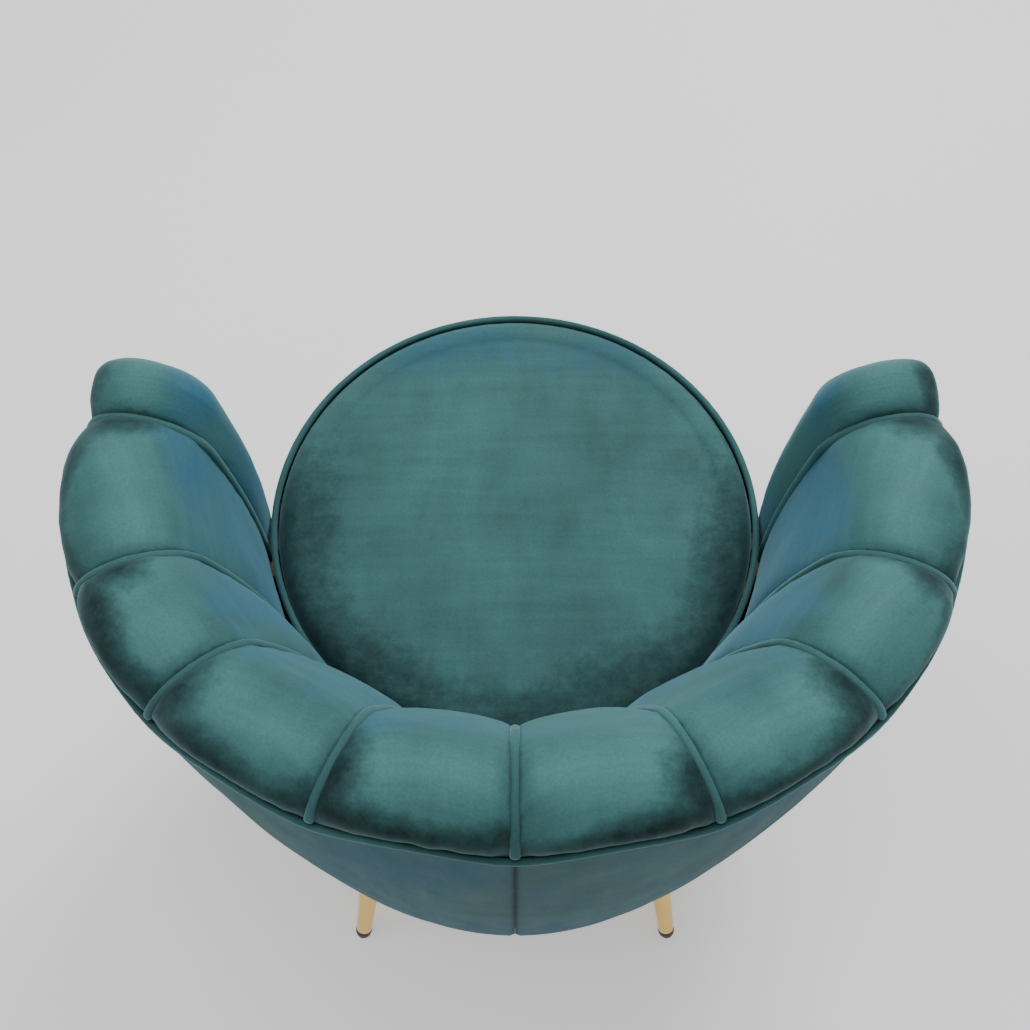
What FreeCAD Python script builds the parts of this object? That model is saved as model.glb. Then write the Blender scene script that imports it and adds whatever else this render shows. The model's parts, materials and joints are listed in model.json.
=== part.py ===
import FreeCAD, Part
import math
import os
import Sketcher

# Scallop back armchair: a fan of foam-filled velvet petals round a tight round seat,
# on four tapered metal legs. Millimetres, +Z up, front towards -Y.
# The origin is on the floor, under the middle of the chair's box.

V = FreeCAD.Vector
doc = FreeCAD.newDocument("ScallopBackChair")
sheet = doc.addObject("Spreadsheet::Sheet", "Sizes")

SIZES = (
    ("rim_half_width", 397),
    ("rim_half_depth", 371),
    ("rim_height_back", 689.5),
    ("rim_drop", 85),
    ("scallop_rise", 17),
    ("fan_centre_y", 12),
    ("seam_angle_one", 25.8),
    ("seam_angle_two", 51.5),
    ("seam_angle_three", 73.1),
    ("seam_angle_four", 100.5),
    ("arm_end_angle", 112.2),
    ("crest_inset_back", 47),
    ("crest_inset_growth", 7),
    ("crest_rise_seam", 33),
    ("crest_rise_seam_growth", 7),
    ("crest_rise_petal", 52),
    ("crest_rise_petal_growth", 9),
    ("crest_growth_angle", 75),
    ("arm_extra_rise", 12),
    ("crest_radius", 60),
    ("petal_lean", 6),
    ("petal_gap", 4.5),
    ("seam_gap", 10),
    ("petal_low", 375),
    ("petal_depth", 45),
    ("petal_back_inset", 75),
    ("petal_back_drop", 90),
    ("welt_radius", 3.2),
    ("welt_clearance", 2),
    ("cover_thickness", 4),
    ("cover_bow", 11),
    ("cover_flange", 10),
    ("base_radius", 288),
    ("base_centre_y", 24),
    ("base_height", 182),
    ("base_round", 22),
    ("board_thickness", 18),
    ("board_bore", 150),
    ("part_gap", 0.3),
    ("frame_clearance", 3.5),
    ("board_inset", 36),
    ("seat_frame_inset", 14),
    ("seat_radius", 247),
    ("seat_centre_y", -56),
    ("seat_height", 420),
    ("seat_crown", 16),
    ("cushion_bevel", 9),
    ("seat_frame_height", 330),
    ("seat_frame_thickness", 15),
    ("seat_frame_width", 40),
    ("strap_width", 60),
    ("strap_thickness", 2),
    ("strap_pitch", 78),
    ("underlay_thickness", 2),
    ("rib_thickness", 18),
    ("rail_thickness", 12),
    ("rail_height", 43),
    ("front_rail_thickness", 15),
    ("leg_top_radius", 14.5),
    ("leg_foot_radius", 8.8),
    ("leg_wall", 1.5),
    ("leg_cap", 14),
    ("leg_top_gap", 6.2),
    ("leg_back_foot_x", 174),
    ("leg_back_foot_y", 262),
    ("leg_back_top_x", 148),
    ("leg_back_top_y", 190),
    ("leg_front_foot_x", 197),
    ("leg_front_foot_y", -195),
    ("leg_front_top_x", 162),
    ("leg_front_top_y", -143),
    ("glide_height", 9),
    ("glide_plug", 14),
    ("plate_side", 44),
    ("plate_thickness", 3),
    ("plate_hole_pitch", 32),
    ("boss_radius", 8),
    ("boss_height", 12),
    ("stud_radius", 4),
    ("stud_clearance", 0.1),
    ("screw_radius", 2.1),
    ("screw_head_radius", 4),
    ("screw_length", 14),
    ("dust_cover_thickness", 1),
)
for row, (alias, value) in enumerate(SIZES, 1):
    sheet.set("A%d" % row, alias)
    sheet.set("B%d" % row, str(value))
    sheet.setAlias("B%d" % row, alias)
doc.recompute()


def size(alias):
    return float(getattr(sheet, alias))


FAN_Y = size("fan_centre_y")
GAP = size("part_gap")
WELT = size("welt_radius")
COVER = size("cover_thickness")
CORD_SIDES = 6
SEAMS = [
    0.0,
    size("seam_angle_one"),
    size("seam_angle_two"),
    size("seam_angle_three"),
    size("seam_angle_four"),
    size("arm_end_angle"),
]
BOARD_LOW = size("base_height") + COVER + GAP
BOARD_TOP = BOARD_LOW + size("board_thickness")
COVER_END = SEAMS[5] - 3.4
BAND_START = SEAMS[5] + 1.4


# Plan outlines, as distances from the fan's centre at an angle from the back

def circle_reach(radius, centre_y, angle):
    a = math.radians(angle)
    offset = FAN_Y - centre_y
    return -offset * math.cos(a) + math.sqrt(radius ** 2 - (offset * math.sin(a)) ** 2)


def rim_reach(angle):
    s = math.sin(math.radians(angle))
    c = math.cos(math.radians(angle))
    wide = size("rim_half_width") ** 2
    deep = size("rim_half_depth") ** 2
    qa = s * s / wide + c * c / deep
    qb = 2 * FAN_Y * c / deep
    qc = FAN_Y ** 2 / deep - 1
    return (-qb + math.sqrt(qb * qb - 4 * qa * qc)) / (2 * qa)


def rim_height(angle):
    a = math.radians(angle)
    reach = rim_reach(angle)
    turn = math.atan2(reach * math.sin(a), FAN_Y + reach * math.cos(a))
    return size("rim_height_back") - size("rim_drop") * (1 - math.cos(turn))


def seat_reach(angle, inset=0.0):
    return circle_reach(size("seat_radius") - inset, size("seat_centre_y"), angle)


def base_reach(angle, inset=0.0):
    return circle_reach(size("base_radius") - inset, size("base_centre_y"), angle)


# Where a petal's sections stand across its width, and how full it is there:
# 0 at its seams, 1 in its middle

SHARES = (0.0, 0.07, 0.24, 0.5, 0.76, 0.93, 1.0)


def fullness(share):
    return math.sqrt(max(0.0, 1 - abs(2 * share - 1) ** 2.2))


# How far the rim's wave has risen there, with a soft trough at each seam

def rim_wave(full):
    share = (1 - max(0.0, 1 - full * full) ** (1 / 2.2)) / 2
    return math.sin(math.pi * share) ** 1.5


# The sections along the rim, also over the arm, where the petal's far side has no seam

def rim_span(number):
    low = SEAMS[number - 1]
    high = SEAMS[number] if number < 5 else COVER_END
    for share in SHARES:
        yield low + share * (high - low), fullness(share if number < 5 else share * 0.5)


# Highest point of a petal's section

def crest_spot(angle, full):
    growth = min(1.0, angle / size("crest_growth_angle")) ** 2
    inset = size("crest_inset_back") + growth * size("crest_inset_growth")
    seam = size("crest_rise_seam") + growth * size("crest_rise_seam_growth")
    petal = size("crest_rise_petal") + growth * size("crest_rise_petal_growth")
    along_arm = max(0.0, (angle - SEAMS[4]) / (SEAMS[5] - SEAMS[4]))
    petal += size("arm_extra_rise") * min(1.0, 2 * along_arm)
    return (rim_reach(angle) - inset, rim_height(angle) + seam + (petal - seam) * full)


# Arcs in an upright section: (distance from the fan's centre, height)

def arc(centre, radius, start, end):
    def at(turn):
        return (centre[0] + radius * math.cos(turn), centre[1] + radius * math.sin(turn))
    return (at(start), at((start + end) / 2), at(end))


def clockwise_arc(start, heading, end, grow=0.0):
    normal = (math.sin(heading), -math.cos(heading))
    dx = end[0] - start[0]
    dz = end[1] - start[1]
    radius = (dx * dx + dz * dz) / (2 * (dx * normal[0] + dz * normal[1]))
    centre = (start[0] + normal[0] * radius, start[1] + normal[1] * radius)
    first = math.atan2(start[1] - centre[1], start[0] - centre[0])
    last = math.atan2(end[1] - centre[1], end[0] - centre[0])
    while last > first:
        last -= 2 * math.pi
    return (centre, radius + grow, first, last)


def petal_arcs(angle, full, grow=0.0):
    reach = rim_reach(angle)
    rim = rim_height(angle)
    gap = size("seam_gap") + (size("petal_gap") - size("seam_gap")) * full
    foot = (seat_reach(angle) + gap, size("petal_low"))
    crest = crest_spot(angle, full)
    radius = size("crest_radius")
    middle = (crest[0], crest[1] - radius)
    lean = math.radians(90 + size("petal_lean") * full)
    normal = (math.sin(lean), -math.cos(lean))
    away = (foot[0] - middle[0], foot[1] - middle[1])
    square = away[0] ** 2 + away[1] ** 2
    wall = (radius ** 2 - square) / (2 * (away[0] * normal[0] + away[1] * normal[1] + radius))
    hub = (foot[0] + normal[0] * wall, foot[1] + normal[1] * wall)
    span = math.hypot(middle[0] - hub[0], middle[1] - hub[1])
    knee = (middle[0] + radius * (middle[0] - hub[0]) / span,
            middle[1] + radius * (middle[1] - hub[1]) / span)
    inside = clockwise_arc(foot, lean, knee, grow)
    bend = math.atan2(knee[1] - middle[1], knee[0] - middle[0])
    over = (middle, radius + grow, bend, math.pi / 2)
    tuck = math.radians(-(78 + 57 * full))
    edge = (reach - 3.2, rim + size("scallop_rise") * rim_wave(full) + 4.2)
    dx = edge[0] - crest[0]
    dz = edge[1] - crest[1]
    tx = math.cos(tuck)
    tz = math.sin(tuck)
    qa = 2 * (tx - 1)
    qb = -2 * (dx * (1 + tx) + dz * tz)
    qc = dx * dx + dz * dz
    arm = (-qb - math.sqrt(qb * qb - 4 * qa * qc)) / (2 * qa)
    joint = ((crest[0] + arm + edge[0] - arm * tx) / 2, (crest[1] + edge[1] - arm * tz) / 2)
    turn = 2 * math.atan2(joint[1] - crest[1], joint[0] - crest[0])
    roll = clockwise_arc(crest, 0.0, joint, grow)
    roll_in = clockwise_arc(joint, turn, edge, grow)
    return inside, over, roll, roll_in


# The outside cover's upright section: a slight bow, then a round turn under the base

class Cover:
    def __init__(self, angle, top_reach, top_height):
        self.top = (top_reach, top_height)
        self.bottom_reach = base_reach(angle)
        low = size("base_height")
        corner = size("base_round")
        slope = 0.25
        for _ in range(6):
            end = (self.bottom_reach, low + corner * (1 - math.sin(slope)))
            dx = end[0] - top_reach
            dz = end[1] - top_height
            chord = math.hypot(dx, dz)
            bow = 2 * math.atan(2 * size("cover_bow") / chord)
            slope = math.atan2(-dx, -dz) + bow
        heading = math.atan2(dz, dx) + bow
        self.centre, self.radius, self.first, self.last = clockwise_arc(self.top, heading, end)
        self.turn = (end[0] - corner * math.cos(slope), end[1] + corner * math.sin(slope))
        self.corner = corner
        self.end = end
        self.slope = slope

    def reach(self, height, inset=0.0):
        if height >= self.end[1]:
            radius = self.radius - inset
            return self.centre[0] + math.sqrt(radius ** 2 - (height - self.centre[1]) ** 2)
        radius = self.corner - inset
        drop = min(radius, abs(height - self.turn[1]))
        return self.turn[0] + math.sqrt(radius ** 2 - drop ** 2)

    def wire(self, angle, side=1):
        inner = self.radius - COVER
        small = self.corner - COVER
        floor = size("base_height")
        lip = self.turn[0] - size("cover_flange")
        outer_arc = arc(self.centre, self.radius, self.first, self.last)
        outer_turn = arc(self.turn, self.corner, -self.slope, -math.pi / 2)
        inner_turn = arc(self.turn, small, -math.pi / 2, -self.slope)
        inner_arc = arc(self.centre, inner, self.last, self.first)
        chain = [
            outer_arc,
            outer_turn,
            (outer_turn[2], (lip, floor)),
            ((lip, floor), (lip, floor + COVER)),
            ((lip, floor + COVER), inner_turn[0]),
            inner_turn,
            inner_arc,
            (inner_arc[2], outer_arc[0]),
        ]
        return section_wire(chain, angle, side)


def rim_cover(angle, full=0.0):
    top = rim_height(angle) + size("scallop_rise") * rim_wave(full) - WELT - 1.1
    return Cover(angle, rim_reach(angle) - 0.5, top)


def seat_cover(angle):
    return Cover(angle, seat_reach(angle, 1.6), size("seat_height") - WELT - 0.6)


# From sections to solids

def point(angle, spot, side=1):
    a = math.radians(angle)
    return V(side * spot[0] * math.sin(a), FAN_Y + spot[0] * math.cos(a), spot[1])


def section_wire(chain, angle, side=1):
    edges = []
    for piece in chain:
        spots = [point(angle, spot, side) for spot in piece]
        if len(spots) == 3:
            edges.append(Part.Arc(*spots).toShape())
        else:
            edges.append(Part.makeLine(*spots))
    return Part.Wire(edges)


# A cord's section is a many-sided ring

def cord_ring(spot, across, up, closed=False):
    corners = []
    for step in range(CORD_SIDES + (1 if closed else 0)):
        turn = 2 * math.pi * (step + 0.5) / CORD_SIDES
        corners.append(spot + across * (WELT * math.cos(turn)) + up * (WELT * math.sin(turn)))
    return corners


# Rings set square to a path and never twisting round it

def cord_sections(spots, across):
    sections = []
    last = len(spots) - 1
    for index, spot in enumerate(spots):
        heading = V(0, 0, 0)
        if index > 0:
            heading += (spot - spots[index - 1]).normalize()
        if index < last:
            heading += (spots[index + 1] - spot).normalize()
        heading.normalize()
        across = (across - heading * across.dot(heading)).normalize()
        ring = cord_ring(spot, across, heading.cross(across), closed=True)
        sections.append(Part.makePolygon(ring))
    return sections


def mirrored(shape):
    return shape.mirror(V(0, 0, 0), V(1, 0, 0))


NODES = []


def keep(obj, label):
    obj.Label = label
    NODES.append(obj)
    return obj


def feature(label, shape, placement=FreeCAD.Placement()):
    obj = doc.addObject("Part::Feature", label)
    obj.Shape = shape
    obj.Placement = placement
    return keep(obj, label)


# Petals of the back and arms

def petal_chain(angle, full, wide=0.0, inset=0.0):
    arcs = [arc(*item) for item in petal_arcs(angle, full)]
    reach = rim_reach(angle)
    rim = rim_height(angle)
    foot = arcs[0][0]
    edge = arcs[3][2]
    back = seat_reach(angle) + size("seam_gap") + size("petal_depth")
    plain = [
        (reach - 7.5, edge[1] - 15.6),
        (reach - 24, rim - 16),
        (reach - size("petal_back_inset"), rim - size("petal_back_drop")),
        (back, size("petal_low")),
        foot,
    ]
    cover = rim_cover(angle)
    low = size("petal_low") + wide * (BOARD_TOP - size("petal_low") - 8)
    heights = [plain[0][1], rim - 20, rim - size("petal_back_drop"), low]
    full_depth = [(cover.reach(height, COVER + 3.4), height) for height in heights]
    full_depth[0] = plain[0]
    full_depth.append((foot[0], low))
    closing = []
    for near, far in zip(plain, full_depth):
        closing.append((near[0] + wide * (far[0] - near[0]), near[1] + wide * (far[1] - near[1])))
    foot = closing.pop()
    width = closing[3][0] - foot[0]
    small = min(inset, 0.3 * width)

    def moved(spot, across, up, amount=inset):
        return (spot[0] + across * amount, spot[1] + up * amount)

    base = moved(foot, 1, 1, small)
    chain = [
        (base, moved(arcs[0][0], 1, 0), moved(arcs[0][1], 1, 0), moved(arcs[0][2], 1, 0)),
        (moved(arcs[0][2], 1, 0), moved(arcs[1][1], 0.7, -0.7), moved(arcs[1][2], 0, -1)),
        (moved(arcs[1][2], 0, -1), moved(arcs[2][1], -0.2, -1), moved(arcs[2][2], -0.5, -0.8)),
        (moved(arcs[2][2], -0.5, -0.8), moved(arcs[3][1], -0.9, -0.5), moved(edge, -1, -0.3)),
        (moved(edge, -1, -0.3), moved(closing[0], -1, -0.3)),
        (moved(closing[0], -1, -0.3), moved(closing[1], -1, 0)),
        (moved(closing[1], -1, 0), moved(closing[2], -1, 0)),
        (moved(closing[2], -1, 0), moved(closing[3], -1, 1, small)),
        (moved(closing[3], -1, 1, small), base),
    ]
    wall = chain.pop(0)
    skirt = (wall[0], wall[1]) if wide > 0 else None
    return wall, skirt, chain


def petal_wire(angle, full, wide=0.0, inset=0.0, skirted=False):
    wall, skirt, chain = petal_chain(angle, full, wide, inset)
    first = [(wall[1], wall[2], wall[3])]
    if skirted:
        low = wall[0] if skirt else (wall[1][0], wall[1][1] - 4)
        first.insert(0, (low, wall[1]))
        chain[-1] = (chain[-1][0], low)
        chain[-2] = (chain[-2][0], (chain[-2][1][0], low[1]))
        chain[-1] = (chain[-2][1], low)
    return section_wire(first + chain, angle)


def petal(number):
    wires = []
    if number < 5:
        for angle, full in rim_span(number):
            wires.append(petal_wire(angle, full))
        return Part.makeLoft(wires, True, False)
    span = SEAMS[5] - SEAMS[4]
    steps = (
        (0.0, 0.0, 0.0, 0.0),
        (0.13, 0.5, 0.15, 0.0),
        (0.32, 0.83, 0.55, 0.0),
        (0.55, 1.0, 1.0, 0.0),
        (0.74, 0.97, 1.0, 0.5),
        (0.88, 0.82, 1.0, 3.0),
        (0.96, 0.65, 1.0, 7.5),
        (1.0, 0.5, 1.0, 14.0),
    )
    for share, full, wide, inset in steps:
        wires.append(petal_wire(SEAMS[4] + share * span, full, wide, inset, True))
    return Part.makeLoft(wires, True, True)


for number in range(1, 6):
    shape = petal(number)
    feature("petal_left_%d" % number, shape)
    feature("petal_right_%d" % number, mirrored(shape))


# Cords sewn into the seams between the petals, standing a little proud of the crease

def seam_cord(angle):
    lift = WELT / math.sin(math.radians(38)) + size("welt_clearance")
    inside, over, roll, roll_in = petal_arcs(angle, 0.0, lift)
    spots = []
    for item, length, steps in ((inside, 1.0, 6), (over, 1.0, 5), (roll, 1.0, 3), (roll_in, 0.62, 2)):
        centre, radius, first, last = item
        for step in range(steps + 1):
            turn = first + length * (last - first) * step / steps
            spot = (centre[0] + radius * math.cos(turn), centre[1] + radius * math.sin(turn))
            if step or not spots:
                spots.append(spot)
    a = math.radians(angle)
    across = V(math.cos(a), -math.sin(a), 0)
    sections = cord_sections([point(angle, spot) for spot in spots], across)
    return Part.makeLoft(sections, True, True)


feature("channel_welt_centre", seam_cord(0.0))
for number in range(1, 5):
    shape = seam_cord(SEAMS[number])
    feature("channel_welt_left_%d" % number, shape)
    feature("channel_welt_right_%d" % number, mirrored(shape))


# Cord along the scalloped rim and down the front edge of each arm

def rim_spots():
    spots = []
    for number in range(1, 6):
        for angle, full in rim_span(number):
            height = rim_height(angle) + size("scallop_rise") * rim_wave(full)
            spot = point(angle, (rim_reach(angle), height))
            if not spots or spot.distanceToPoint(spots[-1]) > 0.1:
                spots.append(spot)
    side = COVER_END + 1.0
    cover = rim_cover(side, fullness(0.5))
    top = cover.top[1]
    low = BOARD_TOP - 4
    for share in (0.02, 0.09, 0.2, 0.36, 0.52, 0.68, 0.84, 1.0):
        height = top + (low - top) * share
        spots.append(point(side, (cover.reach(height, 0.4), height)))
    return spots


# Straight runs joined by tangent arcs

def rounded_path(spots):
    edges = []
    at = spots[0]
    for before, corner, after in zip(spots, spots[1:], spots[2:]):
        into = corner - before
        out = after - corner
        run = min(into.Length, out.Length)
        into.normalize()
        out.normalize()
        turn = into.getAngle(out)
        radius = 0.45 * run / math.tan(turn / 2)
        back = corner - into * (0.45 * run)
        ahead = corner + out * (0.45 * run)
        inward = (out - into).normalize()
        centre = corner + inward * (radius / math.cos(turn / 2))
        edges.append(Part.makeLine(at, back))
        edges.append(Part.Arc(back, centre - inward * radius, ahead).toShape())
        at = ahead
    edges.append(Part.makeLine(at, spots[-1]))
    return Part.Wire(edges)


def rim_cord():
    half = rim_spots()
    other = [V(-spot.x, spot.y, spot.z) for spot in half[1:]]
    other.reverse()
    path = rounded_path(other + half)
    first = path.Edges[0]
    start = first.valueAt(first.FirstParameter)
    heading = first.tangentAt(first.FirstParameter)
    across = heading.cross(V(0, 1, 0)).normalize()
    ring = Part.makePolygon(cord_ring(start, across, heading.cross(across), closed=True))
    print("rim cord: %.0f mm long" % path.Length)
    return path.makePipeShell([ring], True, False)


feature("rim_welt", rim_cord())


# Smooth outside cover, in two halves that meet at the centre-back seam

def cover_span(number):
    wires = []
    for angle, full in rim_span(number):
        angle = max(angle, 0.03)
        wires.append(rim_cover(angle, full).wire(angle))
    return Part.makeLoft(wires, True, True)


spans = [cover_span(number) for number in range(1, 6)]
shape = spans[0].fuse(spans[1:])
feature("outside_back_left", shape)
feature("outside_back_right", mirrored(shape))

# Upholstered band under the front edge of the seat, from arm to arm

BAND_TURNS = [BAND_START + (360 - 2 * BAND_START) * step / 12 for step in range(13)]
wires = [seat_cover(angle).wire(angle) for angle in BAND_TURNS]
feature("seat_band", Part.makeLoft(wires, True, True))

# Curved rail behind that band

def strip_wire(angle, cover, high, low, thick):
    outer_top = cover.reach(high, COVER + size("frame_clearance"))
    outer_low = cover.reach(low, COVER + size("frame_clearance"))
    spots = [
        (outer_top, high),
        (outer_low, low),
        (outer_low - thick, low),
        (outer_top - thick, high),
    ]
    chain = [(spots[i], spots[(i + 1) % 4]) for i in range(4)]
    return section_wire(chain, angle)


FRAME_LOW = size("seat_frame_height")
RAIL_TURNS = [BAND_START + 1.5] + BAND_TURNS[1:-1] + [358.5 - BAND_START]
wires = []
for angle in RAIL_TURNS:
    wires.append(strip_wire(angle, seat_cover(angle), FRAME_LOW - GAP, BOARD_TOP + GAP,
                            size("front_rail_thickness")))
feature("front_rail", Part.makeLoft(wires, True, True))

# Bent plywood rail under the rim

RIB_ANGLES = (0.0, 33.0, 66.0, SEAMS[4] - 2.2)
wires = []
for step in range(-12, 13):
    angle = step * SEAMS[4] / 12
    top = rim_height(angle) - 17
    cover = rim_cover(abs(angle))
    wires.append(strip_wire(angle, cover, top, top - size("rail_height"), size("rail_thickness")))
feature("top_rail", Part.makeLoft(wires, True, True))


# Upright plywood ribs between the base board and the top rail

def rib(angle, side):
    cover = rim_cover(angle)
    reach = rim_reach(angle)
    rim = rim_height(angle)
    clear = size("frame_clearance")
    foot = seat_reach(angle, size("seat_frame_inset") + size("seat_frame_width") - 8)
    behind = seat_reach(angle)
    back = seat_reach(angle) + size("seam_gap") + size("petal_depth") + clear
    low = size("petal_low") - GAP
    top = rim - 17 - size("rail_height") - clear
    inner = reach - size("petal_back_inset") + clear
    share = (top - rim + size("petal_back_drop")) / (size("petal_back_drop") - 16)
    across = size("petal_back_inset") - 24
    spots = [
        (foot, BOARD_TOP + GAP),
        (foot, FRAME_LOW - GAP),
        (behind, FRAME_LOW - GAP),
        (behind, low),
        (back, low),
        (inner, rim - size("petal_back_drop")),
        (inner + across * share, top),
        (cover.reach(top, COVER + size("frame_clearance")), top),
    ]
    for share in (0.25, 0.5, 0.75, 1.0):
        height = top + share * (BOARD_TOP + GAP - top)
        spots.append((cover.reach(height, COVER + size("frame_clearance")), height))
    thick = size("rib_thickness")
    face = Part.Face(Part.makePolygon([V(r, -thick / 2, z) for r, z in spots + spots[:1]]))
    turn = FreeCAD.Rotation(V(0, 0, 1), 90 - side * angle)
    return face.extrude(V(0, thick, 0)), FreeCAD.Placement(V(0, FAN_Y, 0), turn)


feature("rib_centre", *rib(0.0, 1))
for number, angle in enumerate(RIB_ANGLES[1:], 1):
    feature("rib_left_%d" % number, *rib(angle, 1))
    feature("rib_right_%d" % number, *rib(angle, -1))


# Sketches whose corners and radii are bound to the sheet

def new_body(label):
    body = doc.addObject("PartDesign::Body", label)
    return keep(body, label)


def origin_plane(body, role):
    return next(item for item in body.Origin.OriginFeatures if item.Role == role)


def new_sketch(body, name, role):
    sketch = body.newObject("Sketcher::SketchObject", name)
    sketch.AttachmentSupport = [(origin_plane(body, role), "")]
    sketch.MapMode = "FlatFace"
    return sketch


def add_circles(sketch, radii):
    for index, expression in enumerate(radii):
        radius = float(sketch.evalExpression(expression))
        sketch.addGeometry(Part.Circle(V(0, 0, 0), V(0, 0, 1), radius), False)
        name = "radius_%d" % index
        sketch.addConstraint(Sketcher.Constraint("Coincident", index, 3, -1, 1))
        number = sketch.addConstraint(Sketcher.Constraint("Radius", index, radius))
        sketch.renameConstraint(number, name)
        sketch.setExpression("Constraints." + name, expression)


def add_outline(sketch, corners):
    spots = []
    for across, up in corners:
        spots.append((float(sketch.evalExpression(across)), float(sketch.evalExpression(up))))
    count = len(spots)
    for index in range(count):
        start = V(spots[index][0], spots[index][1], 0)
        end = V(spots[(index + 1) % count][0], spots[(index + 1) % count][1], 0)
        sketch.addGeometry(Part.LineSegment(start, end), False)
    for index in range(count):
        sketch.addConstraint(Sketcher.Constraint("Coincident", index, 2, (index + 1) % count, 1))
    for index, (across, up) in enumerate(corners):
        for kind, axis, expression, value in (("DistanceX", -2, across, spots[index][0]),
                                              ("DistanceY", -1, up, spots[index][1])):
            if expression == "0":
                sketch.addConstraint(Sketcher.Constraint("PointOnObject", index, 1, axis))
                continue
            number = sketch.addConstraint(Sketcher.Constraint(kind, -1, 1, index, 1, value))
            name = "%s_%d" % (kind.lower(), index)
            sketch.renameConstraint(number, name)
            sketch.setExpression("Constraints." + name, expression)


def pad(body, sketch, length):
    block = body.newObject("PartDesign::Pad", sketch.Name + "_pad")
    block.Profile = sketch
    block.setExpression("Length", length)
    return block


def revolve(body, sketch):
    turned = body.newObject("PartDesign::Revolution", sketch.Name + "_turned")
    turned.Profile = sketch
    turned.ReferenceAxis = (sketch, ["V_Axis"])
    turned.Angle = 360
    return turned


def place(obj, spot, heading=V(0, 0, 1)):
    turn = FreeCAD.Rotation(V(0, 0, 1), heading)
    obj.Placement = FreeCAD.Placement(spot, turn)


def disc(label, radii, thickness, spot):
    body = new_body(label)
    sketch = new_sketch(body, label + "_outline", "XY_Plane")
    add_circles(sketch, radii)
    pad(body, sketch, thickness)
    place(body, spot)
    return body


# Seat frame ring, webbing, felt, cushion and the cord at its edge

SEAT_Y = size("seat_centre_y")
BASE_Y = size("base_centre_y")
FRAME_TOP = FRAME_LOW + size("seat_frame_thickness")
disc("seat_ring", ("Sizes.seat_radius - Sizes.seat_frame_inset",
                   "Sizes.seat_radius - Sizes.seat_frame_inset - Sizes.seat_frame_width"),
     "Sizes.seat_frame_thickness", V(0, SEAT_Y, FRAME_LOW))

strap = size("strap_thickness")
strap_step = size("strap_pitch")


def webbing(label, offset, along, level):
    box = doc.addObject("Part::Box", label)
    keep(box, label)
    wide = size("strap_width")
    reach = math.sqrt((size("seat_radius") - 20) ** 2 - (abs(offset) + wide / 2) ** 2)
    side = "Sizes.strap_width"
    length = ("2 * sqrt((Sizes.seat_radius - 20)^2 - (%d * Sizes.strap_pitch + Sizes.strap_width / 2)^2)"
              % (1 if offset else 0))
    box.setExpression("Length", length if along == "x" else side)
    box.setExpression("Width", side if along == "x" else length)
    box.setExpression("Height", "Sizes.strap_thickness")
    if along == "x":
        box.Placement.Base = V(-reach, SEAT_Y + offset - wide / 2, level)
    else:
        box.Placement.Base = V(offset - wide / 2, SEAT_Y - reach, level)


long_level = FRAME_TOP + 0.2
cross_level = long_level + strap + 0.2
for name, offset in (("left", strap_step), ("centre", 0.0), ("right", -strap_step)):
    webbing("strap_long_" + name, offset, "y", long_level)
for name, offset in (("front", -strap_step), ("middle", 0.0), ("back", strap_step)):
    webbing("strap_cross_" + name, offset, "x", cross_level)

felt_level = cross_level + strap + 0.2
disc("seat_underlay", ("Sizes.seat_radius - 18",), "Sizes.underlay_thickness", V(0, SEAT_Y, felt_level))


def cushion():
    low = felt_level + size("underlay_thickness") + GAP
    edge = size("seat_radius") - 2 * WELT - 1.0
    height = size("seat_height")
    crown = height + size("seat_crown")
    bevel = size("cushion_bevel")
    shoulder = (edge - 26, height + 0.62 * size("seat_crown") - 2)
    profile = [(0, low), (edge - bevel, low), (edge - bevel, low + 2 * bevel), (edge, low + 4 * bevel)]
    centre, radius, first, last = clockwise_arc((-edge, height - 8), math.pi / 2, (-shoulder[0], shoulder[1]))
    for step in range(4):
        turn = first + (last - first) * step / 4
        profile.append((-centre[0] - radius * math.cos(turn), centre[1] + radius * math.sin(turn)))
    for share in (1.0, 0.7, 0.42, 0.18):
        profile.append((shoulder[0] * share, crown - (crown - shoulder[1]) * share ** 2))
    profile.append((0, profile[-1][1]))
    wire = Part.makePolygon([V(r, 0, z) for r, z in profile + profile[:1]])
    return Part.Face(wire).revolve(V(0, 0, 0), V(0, 0, 1), 360)


feature("seat_cushion", cushion(), FreeCAD.Placement(V(0, SEAT_Y, 0), FreeCAD.Rotation()))

ring = new_body("seat_welt")
sketch = new_sketch(ring, "seat_welt_section", "XZ_Plane")
corners = []
for step in range(CORD_SIDES):
    turn = 2 * math.pi * (step + 0.5) / CORD_SIDES
    corners.append(("Sizes.seat_radius - Sizes.welt_radius * %.6f" % (1 - math.cos(turn)),
                    "Sizes.welt_radius * %.6f" % (1 + math.sin(turn))))
add_outline(sketch, corners)
revolve(ring, sketch)
place(ring, V(0, SEAT_Y, size("seat_height") - WELT))

# Legs, glides, plates, studs and screws

FEET = {
    "back_left": ("leg_back", 1),
    "back_right": ("leg_back", -1),
    "front_left": ("leg_front", 1),
    "front_right": ("leg_front", -1),
}
PLATE_LOW = BOARD_LOW - size("plate_thickness") - 0.1
LEG_TOP = PLATE_LOW - size("leg_top_gap")


def leg_line(name):
    key, side = FEET[name]
    foot = V(side * size(key + "_foot_x"), size(key + "_foot_y"), 0)
    top = V(side * size(key + "_top_x"), size(key + "_top_y"), LEG_TOP)
    heading = top - foot
    length = heading.Length
    heading.normalize()
    return foot, top, heading, length


# Eight-sided stand-in for the small screws and their holes

def prism(radius, height, spot):
    corners = []
    for step in range(9):
        turn = math.pi * step / 4
        corners.append(spot + V(radius * math.cos(turn), radius * math.sin(turn), 0))
    return Part.Face(Part.makePolygon(corners)).extrude(V(0, 0, height))


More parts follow.
